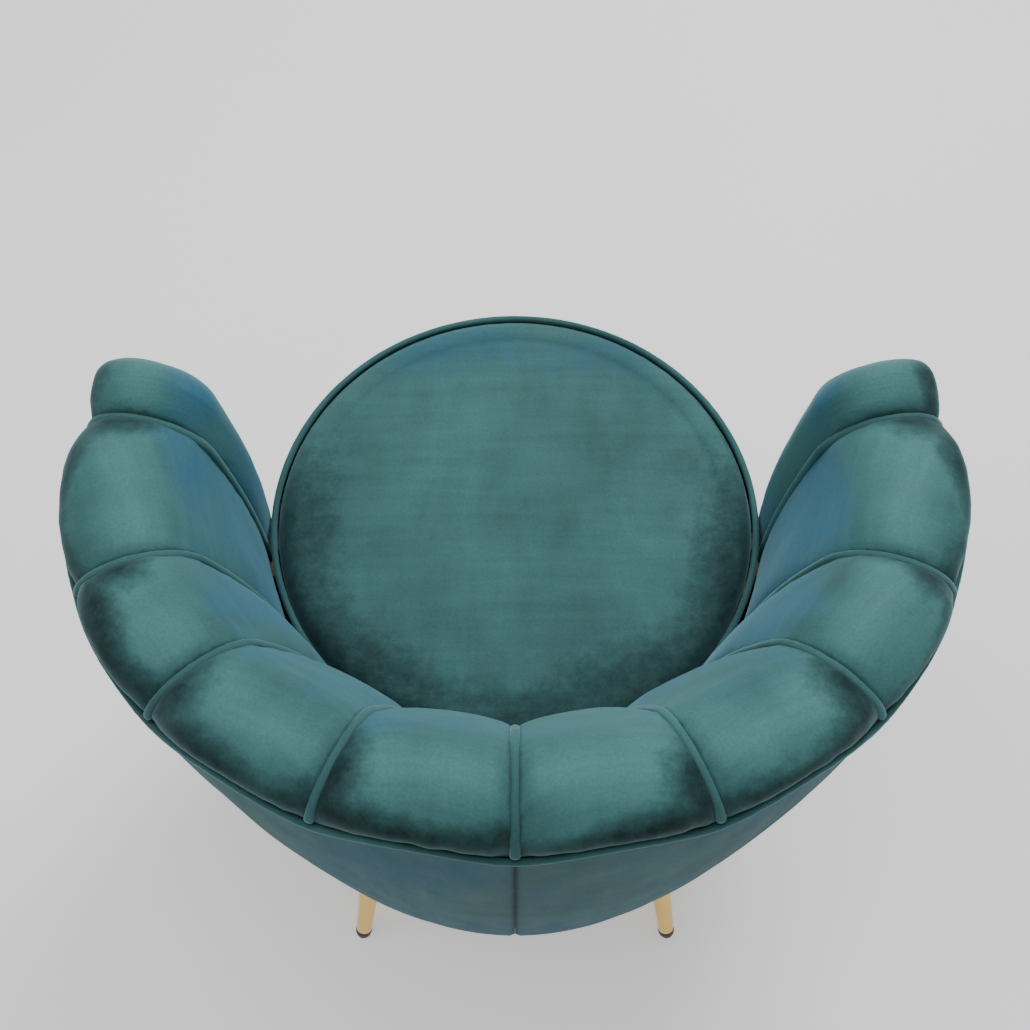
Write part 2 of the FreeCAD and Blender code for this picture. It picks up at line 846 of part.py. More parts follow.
pitch = size("plate_hole_pitch")
sheet_row = len(SIZES) + 1
for name in ("back_left", "front_left"):
    alias = name.split("_")[0] + "_leg_length"
    length = leg_line(name)[3] - size("glide_height")
    sheet.set("A%d" % sheet_row, alias)
    sheet.set("B%d" % sheet_row, "%.3f" % length)
    sheet.setAlias("B%d" % sheet_row, alias)
    sheet_row += 1
doc.recompute()

studs = []
screws = []
holes = []
plates = {}
for name in FEET:
    foot, top, heading, length = leg_line(name)
    tall = "Sizes." + name.split("_")[0] + "_leg_length"
    start = foot + heading * size("glide_height")

    # Tapered tube with a plugged top that takes the stud
    leg = new_body("leg_" + name)
    sketch = new_sketch(leg, "leg_%s_wall" % name, "XZ_Plane")
    bore = "Sizes.stud_radius + Sizes.stud_clearance"
    add_outline(sketch, (
        ("Sizes.leg_foot_radius - Sizes.leg_wall", "0"),
        ("Sizes.leg_foot_radius", "0"),
        ("Sizes.leg_top_radius", tall),
        (bore, tall),
        (bore, tall + " - Sizes.leg_cap"),
        ("Sizes.leg_top_radius - Sizes.leg_wall", tall + " - Sizes.leg_cap"),
    ))
    revolve(leg, sketch)
    place(leg, start, heading)

    # Rounded plastic glide, pushed into the tube and flat where it meets the floor
    inner = size("leg_foot_radius") - size("leg_wall") - 0.15
    outer = size("leg_foot_radius") + 0.4
    low = -size("glide_height") - 4
    profile = [
        Part.makeLine(V(0, 0, size("glide_plug")), V(0, 0, low)),
        Part.makeLine(V(0, 0, low), V(outer - 3.6, 0, low)),
        Part.makeLine(V(outer - 3.6, 0, low), V(outer - 0.8, 0, low + 5.5)),
        Part.makeLine(V(outer - 0.8, 0, low + 5.5), V(outer, 0, -3.5)),
        Part.makeLine(V(outer, 0, -3.5), V(outer, 0, -0.2)),
        Part.makeLine(V(outer, 0, -0.2), V(inner, 0, -0.2)),
        Part.makeLine(V(inner, 0, -0.2), V(inner, 0, size("glide_plug"))),
        Part.makeLine(V(inner, 0, size("glide_plug")), V(0, 0, size("glide_plug"))),
    ]
    glide = Part.Face(Part.Wire(profile)).revolve(V(0, 0, 0), V(0, 0, 1), 360)
    glide.Placement = FreeCAD.Placement(start, FreeCAD.Rotation(V(0, 0, 1), heading))
    floor = Part.makeBox(80, 80, 40, foot + V(-40, -40, -40))
    feature("glide_" + name, glide.cut(floor))

    # Where the leg's line meets the plate
    spot = foot + heading * ((PLATE_LOW - foot.z) / heading.z)
    plate_spot = V(spot.x, spot.y, PLATE_LOW)
    plate = keep(doc.addObject("Part::Cut", "leg_plate_" + name), "leg_plate_" + name)
    slab = doc.addObject("Part::Box", "slab_" + name)
    slab.setExpression("Length", "Sizes.plate_side")
    slab.setExpression("Width", "Sizes.plate_side")
    slab.setExpression("Height", "Sizes.plate_thickness")
    turn = FreeCAD.Rotation(V(0, 0, 1), math.degrees(math.atan2(spot.y - BASE_Y, spot.x)))
    half = size("plate_side") / 2
    slab.Placement = FreeCAD.Placement(plate_spot - turn.multVec(V(half, half, 0)), turn)
    boss = doc.addObject("Part::Cylinder", "boss_" + name)
    boss.setExpression("Radius", "Sizes.boss_radius")
    boss.setExpression("Height", "Sizes.boss_height")
    place(boss, plate_spot + heading * (size("plate_thickness") / 2), heading)
    whole = doc.addObject("Part::Fuse", "plate_whole_" + name)
    whole.Base = slab
    whole.Tool = boss
    tools = [Part.makeCylinder(size("stud_radius") + size("stud_clearance"), 60,
                               plate_spot - heading * 30, heading)]
    for dx in (-0.5, 0.5):
        for dy in (-0.5, 0.5):
            at = plate_spot + turn.multVec(V(dx * pitch, dy * pitch, 0))
            shank = size("screw_radius")
            tools.append(prism(shank + 0.2, 20, at - V(0, 0, 5)))
            holes.append(prism(shank + 0.05, size("screw_length"), at))
            stem = prism(shank, size("screw_length") - 1, at - V(0, 0, 0.1))
            head = prism(size("screw_head_radius"), 1.6, at - V(0, 0, 1.7))
            screws.append(head.fuse(stem).removeSplitter())
    bores = doc.addObject("Part::Feature", "bores_" + name)
    bores.Shape = Part.makeCompound(tools)
    plate.Base = whole
    plate.Tool = bores
    plates[name] = plate
    holes.append(Part.makeCylinder(size("boss_radius") + 7, 60, plate_spot - V(0, 0, 5)))
    stud_low = top - heading * (size("leg_cap") - 2)
    stud_high = plate_spot + heading * (size("boss_height") + 1)
    studs.append(Part.makeCylinder(size("stud_radius"), (stud_high - stud_low).Length, stud_low, heading))

feature("leg_studs", Part.makeCompound(studs))
feature("plate_screws", Part.makeCompound(screws))

# Base board with its holes, and the thin cloth under it
blank = doc.addObject("PartDesign::Body", "board_blank")
sketch = new_sketch(blank, "board_outline", "XY_Plane")
add_circles(sketch, ("Sizes.base_radius - Sizes.board_inset", "Sizes.board_bore"))
pad(blank, sketch, "Sizes.board_thickness")
place(blank, V(0, BASE_Y, BOARD_LOW))
drill = doc.addObject("Part::Feature", "board_holes")
drill.Shape = Part.makeCompound(holes)
board = keep(doc.addObject("Part::Cut", "base_board"), "base_board")
board.Base = blank
board.Tool = drill

cloth = doc.addObject("PartDesign::Body", "cloth_blank")
sketch = new_sketch(cloth, "cloth_outline", "XY_Plane")
add_circles(sketch, ("Sizes.base_radius - Sizes.base_round - 8",))
pad(cloth, sketch, "Sizes.dust_cover_thickness")
CLOTH_LOW = size("base_height") - size("dust_cover_thickness") - 0.7
place(cloth, V(0, BASE_Y, CLOTH_LOW))
gaps = []
for name in FEET:
    foot, top, heading, length = leg_line(name)
    spot = foot + heading * (CLOTH_LOW / heading.z)
    gaps.append(Part.makeCylinder(size("leg_top_radius") + 2.5, 10, V(spot.x, spot.y, CLOTH_LOW - 5)))
slits = doc.addObject("Part::Feature", "cloth_holes")
slits.Shape = Part.makeCompound(gaps)
dust = keep(doc.addObject("Part::Cut", "dust_cover"), "dust_cover")
dust.Base = cloth
dust.Tool = slits

doc.recompute()

# Stand the chair over the middle of its box

def reach_y(label, side):
    obj = next(item for item in NODES if item.Label == label)
    points = obj.Shape.tessellate(0.2)[0]
    return side * max(side * spot.y for spot in points)


back_reach = max(reach_y("outside_back_left", 1), reach_y("petal_left_1", 1), reach_y("rim_welt", 1))
front_reach = min(reach_y("seat_band", -1), reach_y("seat_welt", -1))
shift = V(0, -(back_reach + front_reach) / 2, 0)
for obj in NODES:
    obj.Placement = FreeCAD.Placement(obj.Placement.Base + shift, obj.Placement.Rotation)
doc.recompute()

# Every object must be sound before anything is written
for obj in doc.Objects:
    if "Invalid" in obj.State or "Error" in obj.State:
        raise RuntimeError("%s did not build: %s" % (obj.Name, obj.State))
for obj in NODES:
    if obj.Shape.isNull() or not obj.Shape.isValid() or obj.Shape.Volume <= 0:
        raise RuntimeError("%s has no sound shape" % obj.Label)

os.makedirs("parts", exist_ok=True)
for obj in NODES:
    obj.Shape.exportStep("parts/%s.step" % obj.Label)
print("%d pieces written, shifted by %.2f mm" % (len(NODES), shift.y))
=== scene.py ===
import json
import math

import bmesh
import bpy
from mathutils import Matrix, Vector, noise


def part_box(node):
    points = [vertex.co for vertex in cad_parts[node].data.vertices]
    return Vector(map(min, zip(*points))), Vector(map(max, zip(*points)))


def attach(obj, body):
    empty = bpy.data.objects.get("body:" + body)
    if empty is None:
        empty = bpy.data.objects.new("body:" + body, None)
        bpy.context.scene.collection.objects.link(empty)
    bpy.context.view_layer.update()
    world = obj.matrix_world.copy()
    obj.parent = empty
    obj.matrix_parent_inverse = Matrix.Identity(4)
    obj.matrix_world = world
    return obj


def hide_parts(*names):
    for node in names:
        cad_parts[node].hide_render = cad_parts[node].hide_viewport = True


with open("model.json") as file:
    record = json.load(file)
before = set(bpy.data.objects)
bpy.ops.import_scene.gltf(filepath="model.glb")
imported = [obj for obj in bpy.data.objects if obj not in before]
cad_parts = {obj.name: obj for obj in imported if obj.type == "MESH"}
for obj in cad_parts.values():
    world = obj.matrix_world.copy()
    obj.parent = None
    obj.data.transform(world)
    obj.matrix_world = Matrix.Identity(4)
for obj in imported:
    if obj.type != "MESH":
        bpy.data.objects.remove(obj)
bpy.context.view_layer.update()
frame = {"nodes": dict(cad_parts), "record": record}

NODES = frame["nodes"]


# Driving sizes in metres and degrees, the same as the solids have

RIM_HALF_WIDTH = 0.397
RIM_HALF_DEPTH = 0.371
RIM_HEIGHT = 0.6895
RIM_DROP = 0.085
SCALLOP_RISE = 0.017
FAN_Y = 0.012
SEAMS = (0.0, 25.8, 51.5, 73.1, 100.5, 112.2)
CREST_INSET = 0.047
CREST_INSET_GROWTH = 0.007
CREST_RISE_SEAM = 0.033
CREST_RISE_SEAM_GROWTH = 0.007
CREST_RISE_PETAL = 0.052
CREST_RISE_PETAL_GROWTH = 0.009
CREST_GROWTH_ANGLE = 75.0
ARM_EXTRA_RISE = 0.012
CREST_RADIUS = 0.060
PETAL_LEAN = 6.0
PETAL_GAP = 0.0045
SEAM_GAP = 0.010
PETAL_LOW = 0.375
PETAL_DEPTH = 0.045
PETAL_BACK_INSET = 0.075
PETAL_BACK_DROP = 0.090
WELT = 0.0032
COVER = 0.004
COVER_BOW = 0.011
COVER_FLANGE = 0.010
BASE_RADIUS = 0.288
BASE_Y = 0.024
BASE_HEIGHT = 0.182
BASE_ROUND = 0.022
BOARD_TOP = 0.2043
SEAT_RADIUS = 0.247
SEAT_Y = -0.056
SEAT_HEIGHT = 0.420
SEAT_CROWN = 0.016

# The cover stops just short of the arm's end, and the seat band starts just past it
ARM = 5
COVER_END = SEAMS[ARM] - 3.4
BAND_START = SEAMS[ARM] + 1.4
ARM_CORD_ANGLE = COVER_END + 1.0

# How a petal swells between its seams, and how the rim's wave rises with it
SWELL_POWER = 2.2
WAVE_POWER = 1.5

# How steeply the roll meets the rim at a seam, and how much steeper in mid-petal
TUCK_AT_SEAM = 78
TUCK_GROWTH = 57
TUCK_RISE = 0.0042

# The solids stand a little forward of the rim's own centre
seat_low, seat_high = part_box("seat_welt")
SHIFT_Y = (seat_low[1] + seat_high[1]) / 2 - SEAT_Y


# Small helpers

def smooth(value):
    value = min(1.0, max(0.0, value))
    return value * value * (3 - 2 * value)


def rising(value, start, width):
    """From 0 at the start to 1 one width further on, with soft ends."""
    return smooth((value - start) / width)


def near(distance, width):
    """1 at no distance, fading over about one width."""
    return math.exp(-(distance / width) ** 2)


def between(a, b, share):
    return tuple(low + share * (high - low) for low, high in zip(a, b))


def uneven(spot, scale, depth=1.0, shift=(0, 0, 0)):
    """Smooth noise at a spot, which moves the cloth or shifts its shade."""
    return noise.noise(spot * scale + Vector(shift)) * depth


def side_word(side):
    return "left" if side > 0 else "right"


# Plan outlines and heights, as distances from the fan's centre at an angle from the back

def circle_reach(radius, centre_y, angle):
    a = math.radians(angle)
    offset = FAN_Y - centre_y
    return -offset * math.cos(a) + math.sqrt(radius ** 2 - (offset * math.sin(a)) ** 2)


def rim_reach(angle):
    s = math.sin(math.radians(angle))
    c = math.cos(math.radians(angle))
    qa = (s / RIM_HALF_WIDTH) ** 2 + (c / RIM_HALF_DEPTH) ** 2
    qb = 2 * FAN_Y * c / RIM_HALF_DEPTH ** 2
    qc = (FAN_Y / RIM_HALF_DEPTH) ** 2 - 1
    return (-qb + math.sqrt(qb * qb - 4 * qa * qc)) / (2 * qa)


def rim_height(angle):
    a = math.radians(angle)
    reach = rim_reach(angle)
    turn = math.atan2(reach * math.sin(a), FAN_Y + reach * math.cos(a))
    return RIM_HEIGHT - RIM_DROP * (1 - math.cos(turn))


def seat_reach(angle, inset=0.0):
    return circle_reach(SEAT_RADIUS - inset, SEAT_Y, angle)


def fullness(share):
    """How far a petal has swelled at a share of the way from one seam to the next."""
    return math.sqrt(max(0.0, 1 - abs(2 * share - 1) ** SWELL_POWER))


def rim_wave(full):
    """How far the rim's wave has risen, with a soft trough at each seam."""
    share = (1 - max(0.0, 1 - full * full) ** (1 / SWELL_POWER)) / 2
    return math.sin(math.pi * share) ** WAVE_POWER


def scallop_height(angle, full):
    return rim_height(angle) + SCALLOP_RISE * rim_wave(full)


def crest_spot(angle, full):
    growth = min(1.0, angle / CREST_GROWTH_ANGLE) ** 2
    inset = CREST_INSET + growth * CREST_INSET_GROWTH
    seam = CREST_RISE_SEAM + growth * CREST_RISE_SEAM_GROWTH
    petal = CREST_RISE_PETAL + growth * CREST_RISE_PETAL_GROWTH
    along_arm = max(0.0, (angle - SEAMS[ARM - 1]) / (SEAMS[ARM] - SEAMS[ARM - 1]))
    petal += ARM_EXTRA_RISE * min(1.0, 2 * along_arm)
    return (rim_reach(angle) - inset, rim_height(angle) + seam + (petal - seam) * full)


def place(angle, spot, side=1):
    a = math.radians(angle)
    return Vector((side * spot[0] * math.sin(a), FAN_Y + SHIFT_Y + spot[0] * math.cos(a), spot[1]))


def span_of(number, steps):
    """Angle, share and fullness at even steps along a petal's part of the outside cover."""
    low = SEAMS[number - 1]
    high = SEAMS[number] if number < ARM else COVER_END
    for step in range(steps + 1):
        share = step / steps
        full = fullness(share if number < ARM else share * 0.5)
        yield low + share * (high - low), full


# Arcs in an upright section, each as (centre, radius, first turn, last turn)

def clockwise_arc(start, heading, end, grow=0.0):
    normal = (math.sin(heading), -math.cos(heading))
    dx = end[0] - start[0]
    dz = end[1] - start[1]
    radius = (dx * dx + dz * dz) / (2 * (dx * normal[0] + dz * normal[1]))
    centre = (start[0] + normal[0] * radius, start[1] + normal[1] * radius)
    first = math.atan2(start[1] - centre[1], start[0] - centre[0])
    last = math.atan2(end[1] - centre[1], end[0] - centre[0])
    while last > first:
        last -= 2 * math.pi
    return centre, radius + grow, first, last


def on_arc(item, share):
    centre, radius, first, last = item
    turn = first + share * (last - first)
    return (centre[0] + radius * math.cos(turn), centre[1] + radius * math.sin(turn))


def petal_arcs(angle, full, grow=0.0):
    """The wall, the bend over its top, and the roll's two arcs that end at the rim."""
    gap = SEAM_GAP + (PETAL_GAP - SEAM_GAP) * full
    foot = (seat_reach(angle) + gap, PETAL_LOW)
    crest = crest_spot(angle, full)
    middle = (crest[0], crest[1] - CREST_RADIUS)
    # The wall is the arc that leaves its foot at the lean and touches the crest's circle
    lean = math.radians(90 + PETAL_LEAN * full)
    normal = (math.sin(lean), -math.cos(lean))
    away = (foot[0] - middle[0], foot[1] - middle[1])
    square = away[0] ** 2 + away[1] ** 2
    towards = away[0] * normal[0] + away[1] * normal[1] + CREST_RADIUS
    wall = (CREST_RADIUS ** 2 - square) / (2 * towards)
    hub = (foot[0] + normal[0] * wall, foot[1] + normal[1] * wall)
    span = math.hypot(middle[0] - hub[0], middle[1] - hub[1])
    knee = (middle[0] + CREST_RADIUS * (middle[0] - hub[0]) / span,
            middle[1] + CREST_RADIUS * (middle[1] - hub[1]) / span)
    inside = clockwise_arc(foot, lean, knee, grow)
    bend = math.atan2(knee[1] - middle[1], knee[0] - middle[0])
    over = (middle, CREST_RADIUS + grow, bend, math.pi / 2)
    # The roll leaves the crest level and meets the rim at the tuck, with equal tangents
    tuck = math.radians(-(TUCK_AT_SEAM + TUCK_GROWTH * full))
    edge = (rim_reach(angle) - WELT, scallop_height(angle, full) + TUCK_RISE)
    dx = edge[0] - crest[0]
    dz = edge[1] - crest[1]
    tx = math.cos(tuck)
    tz = math.sin(tuck)
    qa = 2 * (tx - 1)
    qb = -2 * (dx * (1 + tx) + dz * tz)
    qc = dx * dx + dz * dz
    tangent = (-qb - math.sqrt(qb * qb - 4 * qa * qc)) / (2 * qa)
    joint = ((crest[0] + tangent + edge[0] - tangent * tx) / 2,
             (crest[1] + edge[1] - tangent * tz) / 2)
    turn = 2 * math.atan2(joint[1] - crest[1], joint[0] - crest[0])
    roll = clockwise_arc(crest, 0.0, joint, grow)
    roll_in = clockwise_arc(joint, turn, edge, grow)
    return inside, over, roll, roll_in


class Cover:
    """The outside cover's upright section: a slight bow, then a round turn under the base."""

    FIRST_SLOPE = 0.25
    SLOPE_ROUNDS = 6
    CLOSER_AT_TOP = 1.25
    RIM_BLEND = 0.05
    TURN_STEPS = 8
    FLANGE_STEPS = 2

    def __init__(self, angle, top_reach, top_height):
        self.top = (top_reach, top_height)
        bottom = circle_reach(BASE_RADIUS, BASE_Y, angle)
        slope = self.FIRST_SLOPE
        for _ in range(self.SLOPE_ROUNDS):
            end = (bottom, BASE_HEIGHT + BASE_ROUND * (1 - math.sin(slope)))
            dx = end[0] - top_reach
            dz = end[1] - top_height
            bow = 2 * math.atan(2 * COVER_BOW / math.hypot(dx, dz))
            slope = math.atan2(-dx, -dz) + bow
        heading = math.atan2(dz, dx) + bow
        self.arc = clockwise_arc(self.top, heading, end)
        self.turn = (end[0] - BASE_ROUND * math.cos(slope), end[1] + BASE_ROUND * math.sin(slope))
        self.end = end
        self.slope = slope

    def reach(self, height, inset=0.0):
        centre, radius = self.arc[0], self.arc[1] - inset
        if height >= self.end[1]:
            return centre[0] + math.sqrt(radius ** 2 - (height - centre[1]) ** 2)
        radius = BASE_ROUND - inset
        drop = min(radius, abs(height - self.turn[1]))
        return self.turn[0] + math.sqrt(radius ** 2 - drop ** 2)

    def outline(self, steps, top=None):
        """Points down the outside from the top edge, or another top spot, to the flange."""
        reach, height = top or self.top
        away = reach - self.reach(height)
        spots = []
        for step in range(steps + 1):
            share = (step / steps) ** self.CLOSER_AT_TOP
            level = height + share * (self.end[1] - height)
            spots.append((self.reach(level) + away * near(height - level, self.RIM_BLEND), level))
        under = (self.turn, BASE_ROUND, -self.slope, -math.pi / 2)
        for step in range(1, self.TURN_STEPS + 1):
            spots.append(on_arc(under, step / self.TURN_STEPS))
        for step in range(1, self.FLANGE_STEPS + 1):
            spots.append((self.turn[0] - COVER_FLANGE * step / self.FLANGE_STEPS, BASE_HEIGHT))
        return spots


COVER_BELOW_CORD = 0.0011
COVER_BEHIND_RIM = 0.0005
BAND_BELOW_CORD = 0.0006
BAND_BEHIND_SEAT = 0.0016


def rim_cover(angle, full=0.0):
    top = scallop_height(angle, full) - WELT - COVER_BELOW_CORD
    return Cover(angle, rim_reach(angle) - COVER_BEHIND_RIM, top)


def seat_cover(angle):
    return Cover(angle, seat_reach(angle, BAND_BEHIND_SEAT), SEAT_HEIGHT - WELT - BAND_BELOW_CORD)


# Meshes

def new_piece(node, bm, material):
    """A piece of upholstery that stands in for a solid of the frame."""
    name = node + "_velvet"
    bmesh.ops.recalc_face_normals(bm, faces=bm.faces)
    mesh = bpy.data.meshes.new(name)
    bm.to_mesh(mesh)
    bm.free()
    for face in mesh.polygons:
        face.use_smooth = True
    mesh.materials.append(material)
    obj = bpy.data.objects.new(name, mesh)
    bpy.context.scene.collection.objects.link(obj)
    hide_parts(node)
    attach(obj, "root")
    return obj


PLAIN_SHADE = (0.0, 0.0, 0.0)


def skin(rings, closed_path=False, nap=None, shades=None, flat_ends=False):
    """Quads between closed sections. nap holds a UV in metres; shades holds each point's painted
    shade, its lighter tone (painted highlight on the petals) and its blue tint.
    """
    bm = bmesh.new()
    layer = bm.loops.layers.uv.new("nap")
    # Vertex colours: painted shade in red, lighter tone and painted highlight in green, blue tint
    # in blue
    shade_highlight_tint = bm.verts.layers.float_color.new("shade_highlight_tint")
    verts = [[bm.verts.new(spot) for spot in ring] for ring in rings]
    for i, row in enumerate(verts):
        for j, vert in enumerate(row):
            vert[shade_highlight_tint] = (*(shades[i][j] if shades else PLAIN_SHADE), 1.0)
    count = len(rings[0])

    def new_face(corners, on_map):
        face = bm.faces.new(corners)
        if nap:
            for loop, (i, j) in zip(face.loops, on_map):
                loop[layer].uv = nap[i][j]

    for i in range(len(rings) if closed_path else len(rings) - 1):
        next_i = (i + 1) % len(rings)
        for j in range(count):
            next_j = (j + 1) % count
            on_map = ((i, j), (i, next_j), (next_i, next_j), (next_i, j))
            new_face([verts[a][b] for a, b in on_map], on_map)
    if closed_path:
        return bm
    for i in (0, -1):
        ring = verts[i]
        if flat_ends:
            new_face(ring, [(i, j) for j in range(count)])
            continue
        middle = bm.verts.new(sum((vert.co for vert in ring), Vector()) / count)
        middle[shade_highlight_tint] = ring[0][shade_highlight_tint]
        for j in range(count):
            next_j = (j + 1) % count
            new_face((ring[j], ring[next_j], middle), ((i, j), (i, next_j), (i, j)))
    return bm


def ring_normals(rings):
    """Direction square to the surface at each point of a closed section."""
    normals = []
    last = len(rings) - 1
    for i, ring in enumerate(rings):
        before = rings[max(0, i - 1)]
        after = rings[min(last, i + 1)]
        row = []
        for j in range(len(ring)):
            along = after[j] - before[j]
            around = ring[(j + 1) % len(ring)] - ring[j - 1]
            normal = along.cross(around)
            row.append(normal.normalized() if normal.length > 1e-12 else Vector((0, 0, 0)))
        normals.append(row)
    return normals


CORD_SIDES = 14
RIPPLE_SCALE = 260.0


def cord(path, wide=1.0, closed=False, up=Vector((0, 0, 1)), ripple=0.00025):
    """A velvet cord: round sections along a smooth path, with the cloth's slight ripples."""
    rings = []
    last = len(path) - 1
    across = None
    for i, spot in enumerate(path):
        before = path[i - 1] if closed or i else spot
        after = path[(i + 1) % len(path)] if closed or i < last else spot
        heading = (after - before).normalized()
        if across is None:
            across = heading.cross(up).normalized()
        across = (across - heading * across.dot(heading)).normalized()
        other = heading.cross(across)
        ring = []
        for j in range(CORD_SIDES):
            turn = 2 * math.pi * j / CORD_SIDES
            out = across * (math.cos(turn) * wide) + other * math.sin(turn)
            wave = uneven(spot + out * WELT, RIPPLE_SCALE, ripple)
            ring.append(spot + out * (WELT + wave))
        rings.append(ring)
    return skin(rings, closed_path=closed)


# Petals

# Where the arm's petal is full, and how its free end sinks and narrows from there
ARM_FULL = 0.55
ARM_SINKS = 0.5
ARM_SINK_POWER = 2.5
ARM_NARROWS = 0.52
ARM_NARROWING = 0.021
ARM_NARROW_POWER = 2.2

# The arm's end narrows by no more than these shares of its thickness, and by more higher up
MOST_AT_FOOT = 0.3
MOST_AT_SEAT = 0.40
MORE_ABOVE_SEAT = 0.05
MORE_WITHIN = 0.22

# The hidden sides of a petal: its lip under the rim, and its back in front of the ribs
LIP_INSET = 0.0075
LIP_DROP = 0.0156
BACK_TOP_INSET = 0.024
BACK_TOP_DROP = 0.016
ARM_BACK_DROP = 0.020
ARM_BACK_GAP = 0.0022
ARM_FOOT_DROP = 0.008

# Points of a section, counted from the foot's hidden corner
FOOT_STEPS = 10
ARC_STEPS = (30, 16, 12, 12)
LIP_STEPS = 4
HIDDEN_STEPS = (2, 6, 10, 6)
VISIBLE_FIRST = 8
VISIBLE_LAST = 82
WALL_POINT = 28

PETAL_STEPS = 44
ARM_STEPS = 36
EVEN_SPACING = 0.35
ARM_CAP = ((1.02, 0.026), (1.035, 0.033), (1.04, 0.040))


def arm_shape(share):
    """How the arm's petal fills out, deepens and rounds off at its free end."""
    if share < ARM_FULL:
        full = fullness(min(0.5, share / (2 * ARM_FULL)))
    else:
        full = 1 - ARM_SINKS * ((share - ARM_FULL) / (1 - ARM_FULL)) ** ARM_SINK_POWER
    wide = rising(share, start=0.02, width=0.5)
    past = max(0.0, (share - ARM_NARROWS) / (1 - ARM_NARROWS))
    inset = ARM_NARROWING * past ** ARM_NARROW_POWER
    return full, wide, inset


def petal_section(angle, full, wide=0.0, inset=0.0):
    """Closed section: up the inside, over the crest, down the roll, then back inside the cover.

    wide blends the back of a plain petal into the arm's, and inset narrows the arm's end.
    """
    arcs = petal_arcs(angle, full)
    reach = rim_reach(angle)
    rim = rim_height(angle)
    edge = on_arc(arcs[3], 1.0)
    wall_foot = on_arc(arcs[0], 0.0)
    cover = rim_cover(angle)
    low = PETAL_LOW + wide * (BOARD_TOP - PETAL_LOW - ARM_FOOT_DROP)
    lip = (reach - LIP_INSET, edge[1] - LIP_DROP)
    plain = [lip, (reach - BACK_TOP_INSET, rim - BACK_TOP_DROP),
             (reach - PETAL_BACK_INSET, rim - PETAL_BACK_DROP),
             (seat_reach(angle) + SEAM_GAP + PETAL_DEPTH, PETAL_LOW), wall_foot]
    deep = [lip]
    for height in (rim - ARM_BACK_DROP, rim - PETAL_BACK_DROP, low):
        deep.append((cover.reach(height, COVER + ARM_BACK_GAP), height))
    deep.append((wall_foot[0], low))
    closing = [between(a, b, wide) for a, b in zip(plain, deep)]
    foot = closing.pop()
    # The arm is thin near the seat, so its end narrows less there
    small = min(inset, MOST_AT_FOOT * (closing[3][0] - foot[0]))
    thin = MOST_AT_SEAT * (cover.reach(PETAL_LOW, COVER) - wall_foot[0])
    points = []

    def put(spot, way, amount):
        if spot[1] < PETAL_LOW:
            most = small + (thin - small) * rising(spot[1], low, max(0.001, PETAL_LOW - low))
        else:
            most = thin + MORE_ABOVE_SEAT * rising(spot[1], PETAL_LOW, MORE_WITHIN)
        amount = min(amount, most)
        points.append((spot[0] + way[0] * amount, spot[1] + way[1] * amount))

    def run(start, end, steps, ways, amounts=(inset, inset)):
        for step in range(steps):
            share = step / steps
            amount = amounts[0] + share * (amounts[1] - amounts[0])
            put(between(start, end, share), between(*ways, share), amount)

    across = (1, 0)
    back = (-1, 0)
    down = (0, -1)
    over_lip = (-0.5, -0.8)
    under_lip = (-1, -0.3)
    run(foot, wall_foot, FOOT_STEPS, ((1, 1), across), (small, inset))
    ways = ((across, across), (across, down), (down, over_lip), (over_lip, under_lip))
    for item, steps, way in zip(arcs, ARC_STEPS, ways):
        for step in range(steps):
            share = step / steps
            put(on_arc(item, share), between(*way, share), inset)
    run(edge, closing[0], LIP_STEPS, (under_lip, under_lip))
    run(closing[0], closing[1], HIDDEN_STEPS[0], (under_lip, back))
    run(closing[1], closing[2], HIDDEN_STEPS[1], (back, back))
    run(closing[2], closing[3], HIDDEN_STEPS[2], (back, (-1, 1)), (inset, small))
    run(closing[3], foot, HIDDEN_STEPS[3], ((-1, 1), (1, 1)), (small, small))
    return points


def petal_shade(number, side, share, width, j, spot):
    """How much painted shade, painted highlight and blue tint a point gets, on each part of the
    petal.

    j counts along the section: 10 is the wall's foot, 40 its top, 56 the crest, 80 the rim.
    """
    outer = (1 - share) * width if number < ARM else 1.0
    seam = min(share * width, outer)
    drift = uneven(spot, scale=11.0, shift=(number * 2.0, side, 7))
    # Painted shade along the roll's low end, by the rim
    roll_end = rising(j + 8.0 * drift, start=61, width=12) * (0.75 + 0.25 * share)
    # Painted shade on the low side of each roll next to its outer seam
    flank = near(outer, width=0.034) * rising(j + 8 * drift, start=48, width=16)
    # Painted shade in a line beside each seam, and at the wall's foot next to the seat
    line = near(seam, width=0.0055) * 0.75
    foot = rising(4 * drift - j, start=-16, width=9) * (0.5 if number == ARM else 1.0)
    if number == ARM:
        # The arm's front end gets less painted shade and stays lighter
        roll_end *= 1 - 0.8 * rising(share, start=0.45, width=0.35)
    dark = min(1.0, max(roll_end, 0.95 * flank, line, foot))
    # Painted highlight along the crest, fading near the seams
    light = near(j - 56 - 5 * drift, width=9.0) * smooth(seam / 0.02)
    wall = rising(14 * drift - j, start=-50, width=16)
    patch = 0.95 + uneven(spot, scale=8.0, depth=1.4, shift=(3, number * 3.0, side * 5.0))
    bluer = 0.55 + 0.45 * smooth((number - 1) / 3)
    return dark, light, wall * bluer * min(1.0, max(0.0, patch))


